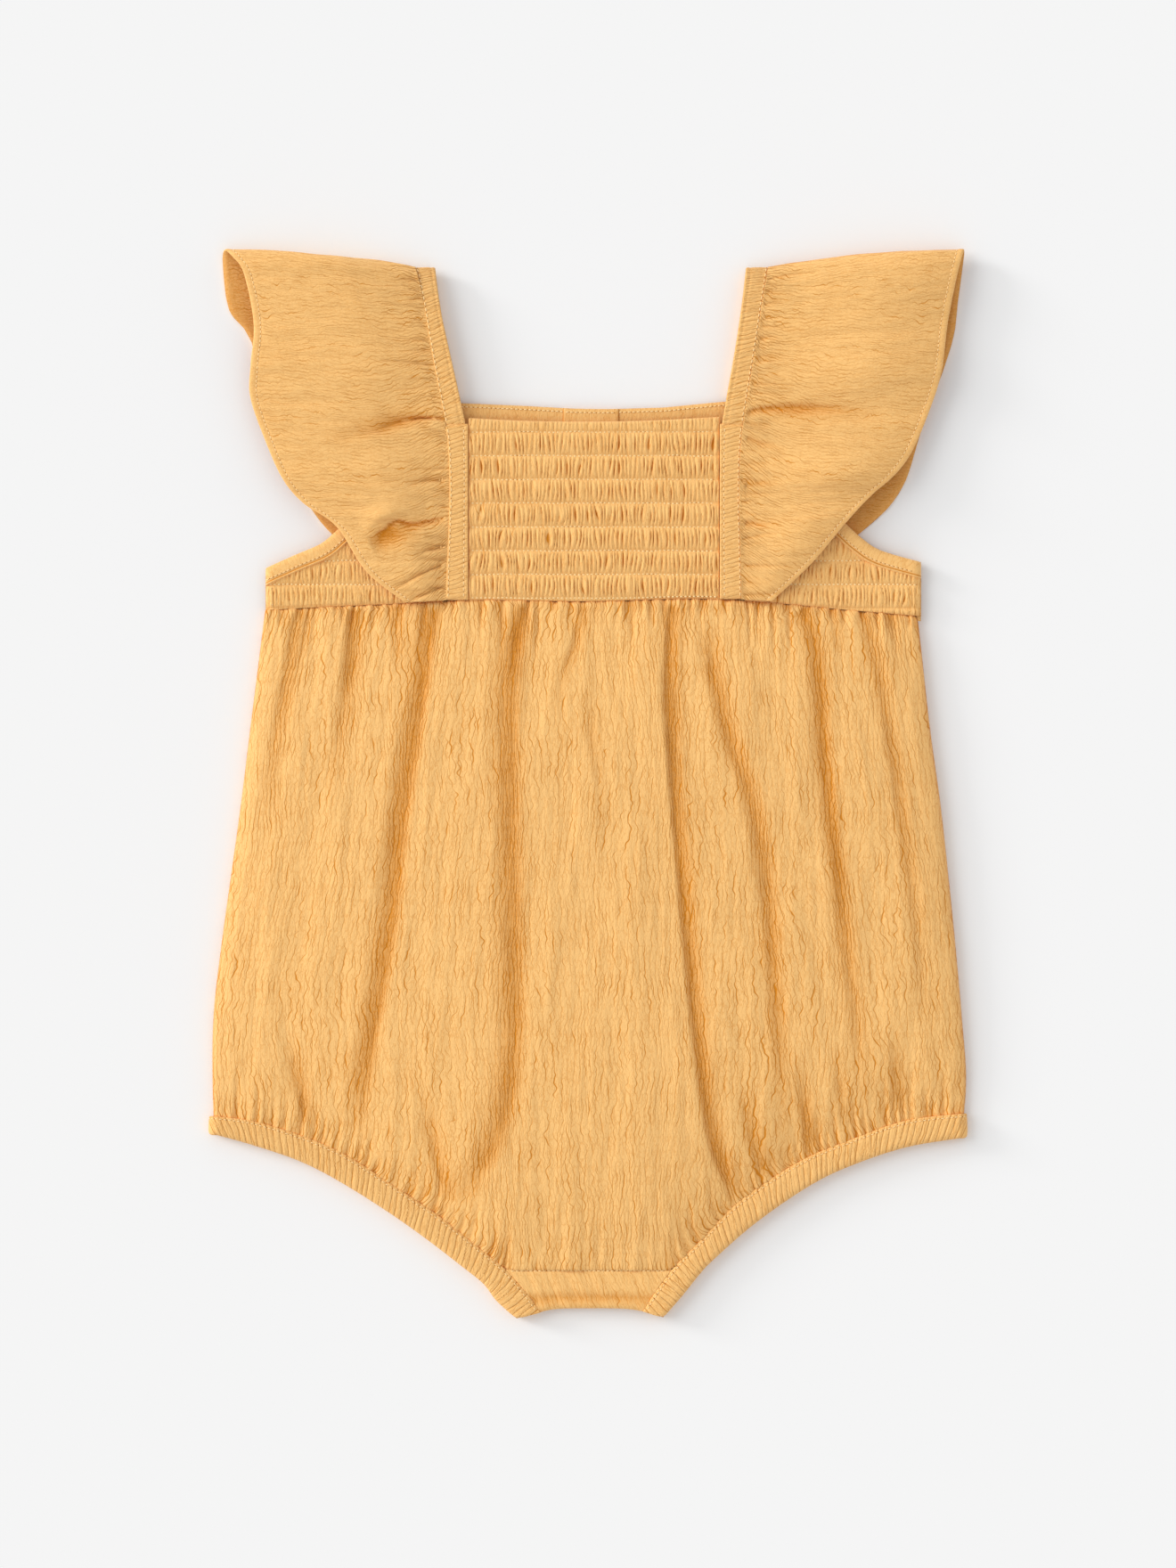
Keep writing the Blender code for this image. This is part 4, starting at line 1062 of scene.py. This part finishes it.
def flutter_form(side):
    creases = side.creases + seam_gathers(side)
    front_share = FRONT_RIBS / (len(side.ribs) - 1)
    thin = cloth().thickness / MM

    def flat(u, v):
        """The smooth surface, and how far each place is from the strap's seam and from the hem."""
        seam_y, hem_x, hem_y, seam_z, middle_z, hem_z = along(side.ribs, v).T
        seam_x = read(side.strap, seam_y) - side.way * SEAM_LAP
        r = outward(side, u)
        rise, fall = np.clip(r / side.crest, 0, 1), np.clip((r - side.crest) / (1 - side.crest), 0, 1)
        z = mix(mix(seam_z, middle_z, rise**2 * (3 - 2 * rise)), hem_z, fall**2)
        bow = SHOULDER_BOW * np.clip((seam_y - BOW_START) / BOW_RISE, 0, 1)
        y = mix(seam_y, hem_y, r) + bow * 4 * r * (1 - r)
        wide = np.abs(hem_x - seam_x)
        return mix(seam_x, hem_x, r), y, z, r * wide, (1 - r) * wide

    def front_of(v):
        """1 on the front half, and 0 past the shoulder."""
        return np.clip((front_share - v) * 30, 0, 1)

    def middle(u, v):
        x, y, z, from_seam, _ = flat(u, v)
        drop = 0.4 * furrow(from_seam / 3) + sink(creases, x, y) * (1 - furrow(from_seam / 1.6))
        z = z - front_of(v) * np.minimum(drop, z - FLUTTER_REST_Z)
        return points(x, y, np.maximum(z, thin / 2))

    t = np.linspace(0, 1, 400)
    lengths = lengths_along(points(*flat(np.full(len(t), 0.5), t)[:3]))

    def relief(u, v):
        x, y, _, from_seam, from_hem = flat(u, v)
        place = np.interp(v, t, lengths)
        in_hem = 1 / (1 + np.exp((from_hem - HEM_WIDTH) / 0.35))
        calm = 1 - 0.6 * in_hem
        height = side.waves * soft_waves(place, from_seam, 55 + side.seed)
        height *= calm * (1 - 0.7 * furrow(from_seam / 2.0))
        height += 0.16 * in_hem - 0.18 * furrow((from_hem - HEM_WIDTH) / 0.5) - 0.3 * lip(from_hem / 0.7)
        height = np.where(v > front_share, np.minimum(height, 0.1), height)
        sunk, taken = folds(creases, x, y, FLUTTER_CLOTH_REACH)
        fullness = FLUTTER_FULLNESS * (1 + 0.2 * np.exp(-from_seam / 20))
        cut = cut_of((place - 150) * fullness - taken, from_seam)
        crinkle = (0.95 + 0.7 * np.exp(-from_seam / 9)) * calm + 0.3 * np.minimum(sunk, 1)
        front = front_of(v)
        # Painted shade deep in the flutter's creases, and a painted shadow on the back half, where it lies
        # under the front half
        deep = front * np.maximum(sunk, 0) / FLUTTER_DEEPEST + (1 - front) * side.inside_shade
        return height, creases_of(UNGATHERED, crinkle, deep), cut

    return Form(middle, relief, None, thin), flat


def flutter_rows():
    """Places along a flutter, close together in its front half."""
    front = FRONT_RIBS / (len(FLUTTER_LEFT) - 1)
    return np.concatenate([np.linspace(0, front, 273), np.linspace(front, 1, 73)[1:]])


def make_flutters():
    # A little overall painted shade on the flutters
    cotton = crinkled_cotton("flutter_cotton", line_shade=0.95, overall_shade=0.02, shortened=1.7)
    for side in SIDES:
        form, _ = flutter_form(side)
        below = ["front_cloth", f"armhole_front_{side.name}"]
        make_sheet(f"flutter_cloth_{side.name}", form, spread(108, 0.3), flutter_rows(), cotton,
                   Sheet(f"flutter_{side.name}", (75, 340), "gathered", below, 0.74))


# Stitching


def thread_unit():
    """One stitch 1 mm long, wide and high, with its ends bent down, as points and faces."""
    bpy.ops.object.select_all(action="DESELECT")
    bpy.ops.mesh.primitive_uv_sphere_add(segments=6, ring_count=4, radius=0.5, rotation=(0, math.pi / 2, 0))
    bpy.ops.object.transform_apply(location=True, rotation=True, scale=True)
    ball = bpy.context.object
    mesh = ball.data
    places = np.array([vertex.co for vertex in mesh.vertices])
    places[:, 2] -= 0.9 * np.clip(np.abs(places[:, 0]) - 0.2, 0, 1)
    faces = [list(face.vertices) for face in mesh.polygons]
    bpy.data.objects.remove(ball)
    bpy.data.meshes.remove(mesh)
    return places, faces


# A seam: a path over a form by its u and v, with the length of its stitches, their gaps and their width
Seam = namedtuple("Seam", "form u v length gap width")


def seam_line(form, u, v, length=STITCH, gap=STITCH_GAP, width=STITCH_WIDTH, count=400):
    t = np.linspace(0, 1, count)
    u, v = (np.interp(t, np.linspace(0, 1, len(part)), part) for part in map(np.atleast_1d, (u, v)))
    return Seam(form, u, v, length, gap, width)


def place_units(seam, path, at, size, lift, shape):
    """The points of one shape of this size, set at these lengths along a seam's path."""
    length = lengths_along(path)
    spots, ahead, behind = (
        np.stack([np.interp(at + step, length, part) for part in path.T], 1) for step in (0, 0.6, -0.6))
    way = unit(ahead - behind)
    out = normals(seam.form, np.interp(at, length, seam.u), np.interp(at, length, seam.v))
    side = unit(np.cross(out, way))
    out = np.cross(way, side)
    x, y, z = (shape * size).T[:, None, :, None]
    return spots[:, None] + way[:, None] * x + side[:, None] * y + out[:, None] * (z + lift)


def make_stitches(name, seams, materials):
    """One mesh of all the stitches of some seams, with dark discs of painted shade for the needle's holes
    between them.
    """
    shape, faces = thread_unit()
    placed, kinds = [], []
    for seam in seams:
        path = np.pad(face_of(seam.form, seam.u, seam.v, 1)[0], ((3, 3), (0, 0)), mode="edge")
        path = np.stack([np.convolve(part, np.ones(7) / 7, mode="valid") for part in path.T], 1)
        pitch = seam.length + seam.gap
        centres = np.arange(pitch / 2, lengths_along(path)[-1] - pitch / 2, pitch)
        thread = (seam.length, seam.width, STITCH_HEIGHT)
        shapes = (0, thread, STITCH_LIFT), (pitch / 2, HOLE, HOLE_LIFT)
        for kind, (shift, size, lift) in enumerate(shapes):
            placed.append(place_units(seam, path, centres + shift, size, lift, shape))
            kinds += [kind] * len(centres)
    starts = len(shape) * np.arange(len(kinds))
    all_faces = [[corner + start for corner in face] for start in starts.tolist() for face in faces]
    mesh = bpy.data.meshes.new(name)
    mesh.from_pydata(np.concatenate([part.reshape(-1, 3) for part in placed]) * MM, [], all_faces)
    for material in materials:
        mesh.materials.append(material)
    mesh.polygons.foreach_set("material_index", np.repeat(kinds, len(faces)).astype(np.int32))
    mesh.shade_smooth()
    bm = bmesh.new()
    bm.from_mesh(mesh)
    bmesh.ops.recalc_face_normals(bm, faces=bm.faces[:])
    bm.to_mesh(mesh)
    bm.free()
    piece = link_piece(name, mesh)
    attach(piece, "root")


def smocking_seams():
    form = centre_form()
    seams = []
    x = np.linspace(CENTRE_LEFT + 0.8, CENTRE_RIGHT - 0.8, 60)
    u = (x - CENTRE_LEFT) / (CENTRE_RIGHT - CENTRE_LEFT)
    low, high = read(WAIST, x), read(FRONT_NECK, x)
    for row in CENTRE_ROWS:
        y = CENTRE_ROW_Y - SMOCK_PITCH * row + 0.5 * noise(x / 9, row * 3.3, 19)
        v = np.clip((y - low) / (high - low), 0.012, 0.99)
        seams.append(seam_line(form, u, v, **SMOCKING_STITCH, count=900))
    for side in SIDES:
        form, plan = side_form(side)
        u = np.linspace(0.008, 0.992, 120)
        x, low = plan(u, 0 * u)
        high = plan(u, 1 + 0 * u)[1]
        for row in SIDE_ROWS:
            y = SIDE_ROW_Y - SMOCK_PITCH * row + 0.4 * noise(x / 9, row * 3.3, 23)
            inside = y < high - 0.6
            v = np.clip((y - low) / (high - low), 0.02, 1)
            seams.append(seam_line(form, u[inside], v[inside], **SMOCKING_STITCH, count=700))
    return seams


def strip_seams():
    seams = []
    for side in SIDES:
        band, strap = band_form(side), strap_form(side)
        shares = STRIP_SEAM / STRIP_SEWN_WIDTH, 1 - STRIP_INNER_SEAM / STRIP_SEWN_WIDTH
        outer_u, inner_u = (1 - outward(side, share) for share in shares)
        for u in (outer_u, inner_u):
            seams.append(seam_line(band, u, (0.01, 0.99), **STRIP_STITCH))
        seams.append(seam_line(strap, outer_u, (0.01, 0.98), **STRIP_STITCH))
        seams.append(seam_line(facing_forms(side)[0], (0.01, 0.97), 1.9 / (FACING_WIDTH + FACING_UNDER)))
        form, plan = back_half_form(side)
        u = np.linspace(0.01, 0.99, 200)
        tall = plan(u, 1 + 0 * u)[1] - plan(u, 0 * u)[1]
        seams.append(seam_line(form, u, 1 - 1.4 / tall, width=0.5))
    top = 1 - 1.4 / (NECK_MIDDLE - WAIST_MIDDLE)
    return [*seams, seam_line(inner_placket(), (0.03, 0.97), top, width=0.5)]


def body_seams():
    seams = [seam_line(flap_forms()[0], (0.02, 0.98), 0.965)]
    for side in SIDES:
        v = outward(side, 1 - CASING_SEAM / CASING_WIDTH)
        seams.append(seam_line(casing_form(side), (0.004, 0.996), v, count=1200))
    return seams


def flutter_seams():
    seams = []
    for side in SIDES:
        form, flat = flutter_form(side)
        v = np.linspace(0.004, 0.996, 600)
        wide = flat(outward(side, 1 + 0 * v), v)[3]
        seams.append(seam_line(form, outward(side, 1 - HEM_WIDTH / wide), v, count=1200))
    return seams


def make_stitching():
    materials = [cotton_thread(), needle_hole_shade()]
    for name, seams in (
        ("smocking_thread", smocking_seams()), ("band_stitching", strip_seams()),
        ("body_stitching", body_seams()), ("flutter_stitching", flutter_seams())):
        make_stitches(name, seams, materials)


# Materials


def linear(colour):
    shares = [part / 255 for part in colour]
    return tuple(s / 12.92 if s <= 0.04045 else ((s + 0.055) / 1.055) ** 2.4 for s in shares)


class Graph:
    """Short ways to add shader nodes to a tree."""

    def __init__(self, tree):
        self.tree = tree

    def add(self, kind, inputs=None, **settings):
        """A node of this kind with its settings, and a value or a link for each named input."""
        node = self.tree.nodes.new("ShaderNode" + kind)
        for name, value in settings.items():
            setattr(node, name, value)
        self.feed(node.inputs, inputs or {})
        return node

    def feed(self, sockets, values):
        for key, value in values.items():
            if isinstance(value, bpy.types.NodeSocket):
                self.tree.links.new(value, sockets[key])
            else:
                sockets[key].default_value = value

    def maths(self, operation, first, second=0.0, third=0.0):
        return self.add("Math", {0: first, 1: second, 2: third}, operation=operation).outputs[0]

    def times(self, first, second):
        return self.maths("MULTIPLY", first, second)

    def plus(self, first, second):
        return self.maths("ADD", first, second)

    def line(self, value, slope, start):
        """value * slope + start"""
        return self.maths("MULTIPLY_ADD", value, slope, start)

    def scaled(self, vector, scale):
        return self.add("VectorMath", {0: vector, "Scale": scale}, operation="SCALE").outputs["Vector"]

    def stretched(self, vector, scales):
        return self.add("VectorMath", {0: vector, 1: scales}, operation="MULTIPLY").outputs["Vector"]

    def noise(self, vector, scale=1.0, **settings):
        values = {"Vector": vector, "Scale": scale}
        values.update({name.capitalize(): value for name, value in settings.items()})
        return self.add("TexNoise", values).outputs["Fac"]

    def fade(self, value, end):
        """Softly from 1 at nought to 0 at the end."""
        values = {"Value": value, "From Max": end, "To Min": 1.0, "To Max": 0.0}
        return self.add("MapRange", values, interpolation_type="SMOOTHSTEP").outputs["Result"]


def group(name, inputs, outputs, fill):
    """The node group of this name. fill makes its inner nodes, from its inputs, and returns its outputs."""
    if name in bpy.data.node_groups:
        return bpy.data.node_groups[name]
    tree = bpy.data.node_groups.new(name, "ShaderNodeTree")
    for in_out, sockets in (("INPUT", inputs), ("OUTPUT", outputs)):
        for kind, names in sockets.items():
            for socket in names:
                tree.interface.new_socket(name=socket, in_out=in_out, socket_type=f"NodeSocket{kind}")
    graph = Graph(tree)
    given, made = tree.nodes.new("NodeGroupInput").outputs, tree.nodes.new("NodeGroupOutput").inputs
    graph.feed(made, fill(graph, given))
    return tree


EFFECT = {"Color": ["Color"], "Float": ["Roughness", "Height"]}


def fill_fibres(graph, given):
    grain = graph.noise(given["Place"], given["Grain"], detail=3.0)
    colour = graph.scaled(given["Colour"], graph.line(grain, 0.22, 0.89))
    return {"Color": colour, "Roughness": graph.line(grain, 0.16, 0.78), "Height": grain}


def fibres_group():
    """The fine grain of cotton fibres: a little colour, roughness and height."""
    inputs = {"Vector": ["Place"], "Color": ["Colour"], "Float": ["Grain"]}
    return group("Cotton fibres", inputs, EFFECT, fill_fibres)


def fill_crinkle(graph, given):
    def wander(wide, tall, amount, detail=0.0):
        """Smooth random numbers on both sides of nought that change over so many millimetres."""
        spots = graph.noise(graph.stretched(given["Place"], (1 / wide, 1 / tall, 1)), detail=detail)
        return graph.line(spots, amount, -amount / 2)

    across = graph.add("SeparateXYZ", {0: given["Place"]}).outputs["X"]
    across = graph.plus(across, graph.plus(wander(13.0, 4.6, 2.2, 1.0), wander(24.0, 60.0, 12.0)))
    across = graph.plus(across, wander(5.0, 2.2, 0.9))
    phase = graph.plus(graph.maths("DIVIDE", across, given["Pitch"]), wander(9.0, 11.0, 1.6))
    wave = graph.maths("ABSOLUTE", graph.maths("SINE", graph.times(phase, math.pi)))
    uneven = graph.add("MapRange", {
        "Value": graph.plus(wander(2.6, 9.0, 0.85), wander(11.0, 30.0, 0.4)),
        "From Min": -0.24, "From Max": 0.3, "To Min": 0.0, "To Max": 1.0}).outputs["Result"]
    width = graph.line(graph.times(uneven, given["Strength"]), 0.42, 0.05)
    near = graph.fade(graph.maths("DIVIDE", wave, width), 1.0)
    shown = graph.add("Clamp", {0: graph.times(graph.plus(uneven, 0.12), given["Strength"])}).outputs[0]
    return {"Line": graph.times(near, shown), "Ridge": wave}


def crinkle_group():
    """Crease lines that wander along Y, at a place in millimetres, and the round ridges between them."""
    inputs = {"Vector": ["Place"], "Float": ["Pitch", "Strength"]}
    return group("Crinkle", inputs, {"Float": ["Line", "Ridge"]}, fill_crinkle)


def fill_cotton(graph, given):
    # depth is how much painted shade the cloth gets for lying deep in a fold or in shadow
    gather, crinkle, depth = graph.add("SeparateXYZ", {0: given["Creases"]}).outputs
    stretch = graph.add("CombineXYZ", {"X": 1.0, "Y": given["Shortened"], "Z": 1.0}).outputs["Vector"]
    in_mm = graph.stretched(graph.scaled(given["Place"], 1 / MM), stretch)
    gathered = graph.fade(graph.maths("ABSOLUTE", gather), 1.15)
    moved = graph.add("VectorMath", {0: in_mm, 1: (300.0, 170.0, 40.0)}).outputs["Vector"]
    fine_pitch = graph.times(given["Pitch"], 0.62)
    wide, fine = (
        graph.add("Group", {"Place": place, "Pitch": pitch, "Strength": crinkle}, node_tree=crinkle_group())
        for place, pitch in ((in_mm, given["Pitch"]), (moved, fine_pitch)))
    line = graph.maths("MAXIMUM", wide.outputs["Line"], graph.times(fine.outputs["Line"], 0.85))
    veined = graph.noise(graph.stretched(in_mm, (1 / 1.5, 1 / 5.5, 1)), detail=2.0, roughness=0.6)
    hairline_creases = graph.fade(graph.maths("ABSOLUTE", graph.maths("SUBTRACT", veined, 0.5)), 0.045)

    # The colour: the smooth cloth, with painted shade along its lines and gathers and in its folds
    # Painted shade along the crinkle's lines, the gathers and the hairline creases
    dark = graph.maths("MAXIMUM", graph.maths("MAXIMUM", line, gathered), graph.times(hairline_creases, 0.3))
    shade = graph.line(depth, given["Depth Shade"], graph.times(dark, given["Line Shade"]))
    shade = graph.plus(shade, graph.line(graph.noise(given["Place"], 60.0, detail=3.0), 0.24, -0.12))
    # An overall painted shade for the whole piece
    shade = graph.add("Clamp", {0: graph.plus(shade, given["Tone"])}).outputs[0]
    colour = graph.add("Mix", {0: shade, 6: given["Cotton"], 7: given["Creased"]}, data_type="RGBA")
    # The colour scaled by a painted light level, lower for a piece that lies in shade
    lit = graph.scaled(colour.outputs[2], given["Brightness"])
    fibres = graph.add("Group", {"Place": given["Place"], "Colour": lit, "Grain": 2400.0},
                       node_tree=fibres_group()).outputs

    # The height: weave, fibres, crepe and crinkle
    axes = graph.add("SeparateXYZ", {0: given["Place"]}).outputs
    turns = graph.maths("DIVIDE", 2 * math.pi, given["Weave"])
    weave = graph.times(*(graph.maths("SINE", graph.times(axes[axis], turns)) for axis in (0, 1)))
    crepe = graph.noise(graph.stretched(in_mm, (1 / 0.7, 1 / 1.5, 1)))
    height = graph.line(weave, 0.008, graph.times(fibres["Height"], 0.08))
    height = graph.line(crepe, 0.17, height)
    height = graph.line(hairline_creases, graph.times(crinkle, -0.02), height)
    ridges = graph.line(wide.outputs["Ridge"], 0.35, graph.times(line, -1.0))
    ridges = graph.line(fine.outputs["Ridge"], 0.12, ridges)
    height = graph.line(graph.times(ridges, crinkle), given["Crinkle Depth"], height)
    height = graph.line(gathered, -0.12, height)
    return {"Color": fibres["Color"], "Roughness": fibres["Roughness"], "Height": height}


def cotton_group():
    """Crinkled cotton: plain weave, with painted shade, darker and redder, along its crease lines and where
    it lies deep in a fold.
    """
    inputs = {
        "Vector": ["Place", "Creases"], "Color": ["Cotton", "Creased"],
        "Float": ["Line Shade", "Depth Shade", "Tone", "Weave", "Pitch", "Crinkle Depth", "Shortened",
                  "Brightness"]}
    return group("Crinkled cotton", inputs, EFFECT, fill_cotton)


def new_material(name):
    material = bpy.data.materials.new(name)
    material.use_nodes = True
    return material, Graph(material.node_tree), material.node_tree.nodes["Principled BSDF"].inputs


def dress(graph, shader, effect, unit_m=MM):
    """Leads a group's colour, roughness and height, in this unit, into a shader."""
    bump = {"Height": effect.outputs["Height"], "Distance": unit_m, "Strength": 1.0}
    graph.feed(shader, {
        "Base Color": effect.outputs["Color"], "Roughness": effect.outputs["Roughness"],
        "Normal": graph.add("Bump", bump).outputs["Normal"]})


def crinkled_cotton(name, line_shade=1.1, depth_shade=0.95, overall_shade=0.0, shortened=1.0, painted_light=1.0):
    material, graph, shader = new_material(name)
    colours = bpy.context.scene.romper_colours
    effect = graph.add("Group", {
        "Place": graph.add("UVMap", uv_map="cloth").outputs["UV"],
        "Creases": graph.add("Attribute", attribute_name="creases").outputs["Vector"],
        "Cotton": (*colours.cotton, 1), "Creased": (*colours.shade_colour, 1), "Line Shade": line_shade,
        "Depth Shade": depth_shade, "Tone": overall_shade, "Weave": cloth().weave,
        "Pitch": cloth().crinkle_pitch / MM, "Crinkle Depth": cloth().crinkle_depth / MM,
        "Shortened": shortened, "Brightness": painted_light}, node_tree=cotton_group())
    dress(graph, shader, effect)
    graph.feed(shader, {"Sheen Weight": 0.12, "Sheen Roughness": 0.6, "Specular IOR Level": 0.25})
    return material


def fibrous(name, colour, grain=4200.0):
    """A material of fibres in one colour, on a piece's own place in space."""
    material, graph, shader = new_material(name)
    place = graph.add("TexCoord").outputs["Object"]
    values = {"Place": place, "Colour": (*colour, 1), "Grain": grain}
    dress(graph, shader, graph.add("Group", values, node_tree=fibres_group()), 0.03 * MM)
    graph.feed(shader, {"Specular IOR Level": 0.3})
    return material


def cotton_thread():
    return fibrous("cotton_thread", bpy.context.scene.romper_colours.thread)


def needle_hole_shade():
    return fibrous("needle_hole_shade", bpy.context.scene.romper_colours.needle_hole_shade)


def stud_steel():
    """Brushed steel, with fine turned lines."""
    material, graph, shader = new_material("stud_steel")
    place = graph.add("TexCoord").outputs["Object"]
    stretch = graph.add("Mapping", {"Vector": place, "Scale": (1.0, 9.0, 1.0)}).outputs["Vector"]
    grain = graph.noise(stretch, 1600.0, detail=4.0)
    bump = graph.add("Bump", {"Height": grain, "Distance": 0.02 * MM})
    graph.feed(shader, {
        "Base Color": (*linear(STEEL), 1), "Metallic": 1.0, "Roughness": graph.line(grain, 0.25, 0.22),
        "Normal": bump.outputs["Normal"]})
    return material


def finish_studs():
    steel = stud_steel()
    for name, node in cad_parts.items():
        if "stud" in name:
            node.data.materials.clear()
            node.data.materials.append(steel)


# The stage


def make_camera():
    data = bpy.data.cameras.new("camera")
    data.sensor_width = SENSOR
    data.lens = SENSOR * CAMERA_HEIGHT / (PICTURE_LONG_SIDE * MM)
    data.clip_start, data.clip_end = 0.05, 20
    camera = link_piece("camera", data)
    camera.location = (0, 0, CAMERA_HEIGHT)
    bpy.context.scene.camera = camera


def make_floor():
    bpy.ops.object.select_all(action="DESELECT")
    bpy.ops.mesh.primitive_plane_add(size=FLOOR_SIZE, location=(0, 0, FLOOR_Z))
    floor = bpy.context.object
    floor.name = "floor"
    material, graph, shader = new_material("pale_paper")
    paper = (*bpy.context.scene.romper_colours.paper, 1)
    grain = graph.noise(graph.add("TexCoord").outputs["Object"], 900.0)
    graph.feed(shader, {
        "Base Color": paper, "Roughness": graph.line(grain, 0.1, 0.85), "Specular IOR Level": 0.0})
    floor.data.materials.append(material)


def add_sun(name, strength, softness, rise, turn):
    data = bpy.data.lights.new(name, "SUN")
    data.energy, data.angle = strength, softness
    sun = link_piece(name, data)
    way = -Vector((math.cos(rise) * math.cos(turn), math.cos(rise) * math.sin(turn), math.sin(rise)))
    sun.rotation_euler = way.to_track_quat("-Z", "Y").to_euler()


def make_stage():
    make_camera()
    make_floor()
    scene = bpy.context.scene
    light = scene.romper_light
    add_sun("window", light.strength, light.softness, light.elevation, light.azimuth)
    add_sun("low_window", light.low_strength, light.low_softness, light.low_elevation, light.azimuth)
    scene.world = bpy.data.worlds.new("studio")
    scene.world.use_nodes = True
    background = scene.world.node_tree.nodes["Background"].inputs
    background["Color"].default_value = (1, 1, 1, 1)
    background["Strength"].default_value = light.fill
    scene.view_settings.view_transform = "Standard"


# The add-on


def colour_property(name, description, default):
    return bpy.props.FloatVectorProperty(
        name=name, description=description, subtype="COLOR", size=3, min=0, max=1, default=linear(default))


def length_property(name, description, default, low, high):
    return bpy.props.FloatProperty(
        name=name, description=description, subtype="DISTANCE", unit="LENGTH", default=default,
        min=low, max=high)


def angle_property(name, description, degrees, high=math.pi / 2):
    return bpy.props.FloatProperty(
        name=name, description=description, subtype="ANGLE", unit="ROTATION", default=math.radians(degrees),
        min=0, max=high)


def strength_property(name, description, default):
    return bpy.props.FloatProperty(name=name, description=description, default=default, min=0)


class RomperColours(bpy.types.PropertyGroup):
    cotton: colour_property("Cotton", "Colour of the smooth cloth", COTTON)
    # Painted shade: the colour that crease lines, gathers and folds are darkened towards
    shade_colour: colour_property("Creased cotton", "Colour of the cloth deep in a crease", CREASE_SHADE)
    thread: colour_property("Thread", "Colour of the sewing thread", THREAD)
    # Painted shade in the needle's holes between two stitches
    needle_hole_shade: colour_property("Needle holes", "Colour between two stitches", NEEDLE_HOLE_SHADE)
    paper: colour_property("Floor", "Colour of the floor", PAPER)


class RomperCloth(bpy.types.PropertyGroup):
    thickness: length_property("Cloth thickness", "Thickness of one layer of cloth", 0.0008, 0.0003, 0.0014)
    crinkle_pitch: length_property(
        "Crinkle pitch", "Distance between two lines of the crinkle", 0.0024, 0.001, 0.01)
    crinkle_depth: length_property("Crinkle depth", "Depth of the crinkle's lines", 0.0001, 0.0, 0.001)
    weave: length_property("Weave", "Distance between two threads of the weave", 0.00045, 0.0001, 0.002)


class RomperLight(bpy.types.PropertyGroup):
    strength: strength_property("Window", "Strength of the soft window light", 1.05)
    softness: angle_property("Softness", "Angle that the window light fills", 38, math.pi)
    elevation: angle_property("Elevation", "Height of the window light above the floor", 34)
    low_strength: strength_property(
        "Low window", "Strength of the light that falls in low and draws long shadows", 1.15)
    low_softness: angle_property("Low softness", "Angle that the low light fills", 14, math.pi)
    low_elevation: angle_property("Low elevation", "Height of the low light above the floor", 14)
    azimuth: angle_property(
        "Direction", "Where the light comes from, round from the right", 158, 2 * math.pi)
    fill: strength_property("Fill", "Strength of the light from all round", 0.698)


def cloth():
    return bpy.context.scene.romper_cloth


# The steps in which the scene is made: the operator's name, its label, what it does and its function
STEPS = (
    ("stage", "Stage", "Put up the camera, the floor and the soft light", make_stage),
    ("body", "Body", "Make the gathered front and the flat back of the body", make_body),
    ("legs", "Leg casings and crotch", "Make the elastic leg casings and the crotch flaps", make_legs),
    ("back", "Back of the bodice", "Make the back of the bodice and its opening", make_back),
    ("smocking", "Smocked bodice", "Make the smocked front and sides of the bodice", make_smocking),
    ("strips", "Bands, straps and facings", "Make the front bands, straps and facings", make_strips),
    ("flutters", "Flutter sleeves", "Make the two flutter sleeves", make_flutters),
    ("stitching", "Stitching", "Sew every seam with thread", make_stitching),
    ("studs", "Press studs", "Give the press studs their steel", finish_studs),
)


def make_operator(name, label, description, make):
    class RomperOperator(bpy.types.Operator):
        bl_idname = f"romper.{name}"
        bl_label = label
        bl_description = description

        def execute(self, context):
            make()
            return {"FINISHED"}

    RomperOperator.__name__ = f"ROMPER_OT_{name}"
    return RomperOperator


OPERATORS = [make_operator(*step) for step in STEPS]


class ROMPER_PT_panel(bpy.types.Panel):
    """The romper's sizes, colours and pieces"""

    bl_idname = "ROMPER_PT_panel"
    bl_label = "Baby romper"
    bl_space_type = "VIEW_3D"
    bl_region_type = "UI"
    bl_category = "Romper"

    def draw(self, context):
        scene = context.scene
        for settings in (scene.romper_colours, scene.romper_cloth, scene.romper_light):
            box = self.layout.box()
            for name in settings.__annotations__:
                box.prop(settings, name)
        for operator in OPERATORS:
            self.layout.operator(operator.bl_idname)


CLASSES = (RomperColours, RomperCloth, RomperLight, *OPERATORS, ROMPER_PT_panel)


def register():
    for made in CLASSES:
        bpy.utils.register_class(made)
    bpy.types.Scene.romper_colours = bpy.props.PointerProperty(type=RomperColours)
    bpy.types.Scene.romper_cloth = bpy.props.PointerProperty(type=RomperCloth)
    bpy.types.Scene.romper_light = bpy.props.PointerProperty(type=RomperLight)


def unregister():
    del bpy.types.Scene.romper_light, bpy.types.Scene.romper_cloth, bpy.types.Scene.romper_colours
    for made in reversed(CLASSES):
        bpy.utils.unregister_class(made)


def main():
    register()
    for name, *_ in STEPS:
        getattr(bpy.ops.romper, name)()


if __name__ == "__main__":
    main()
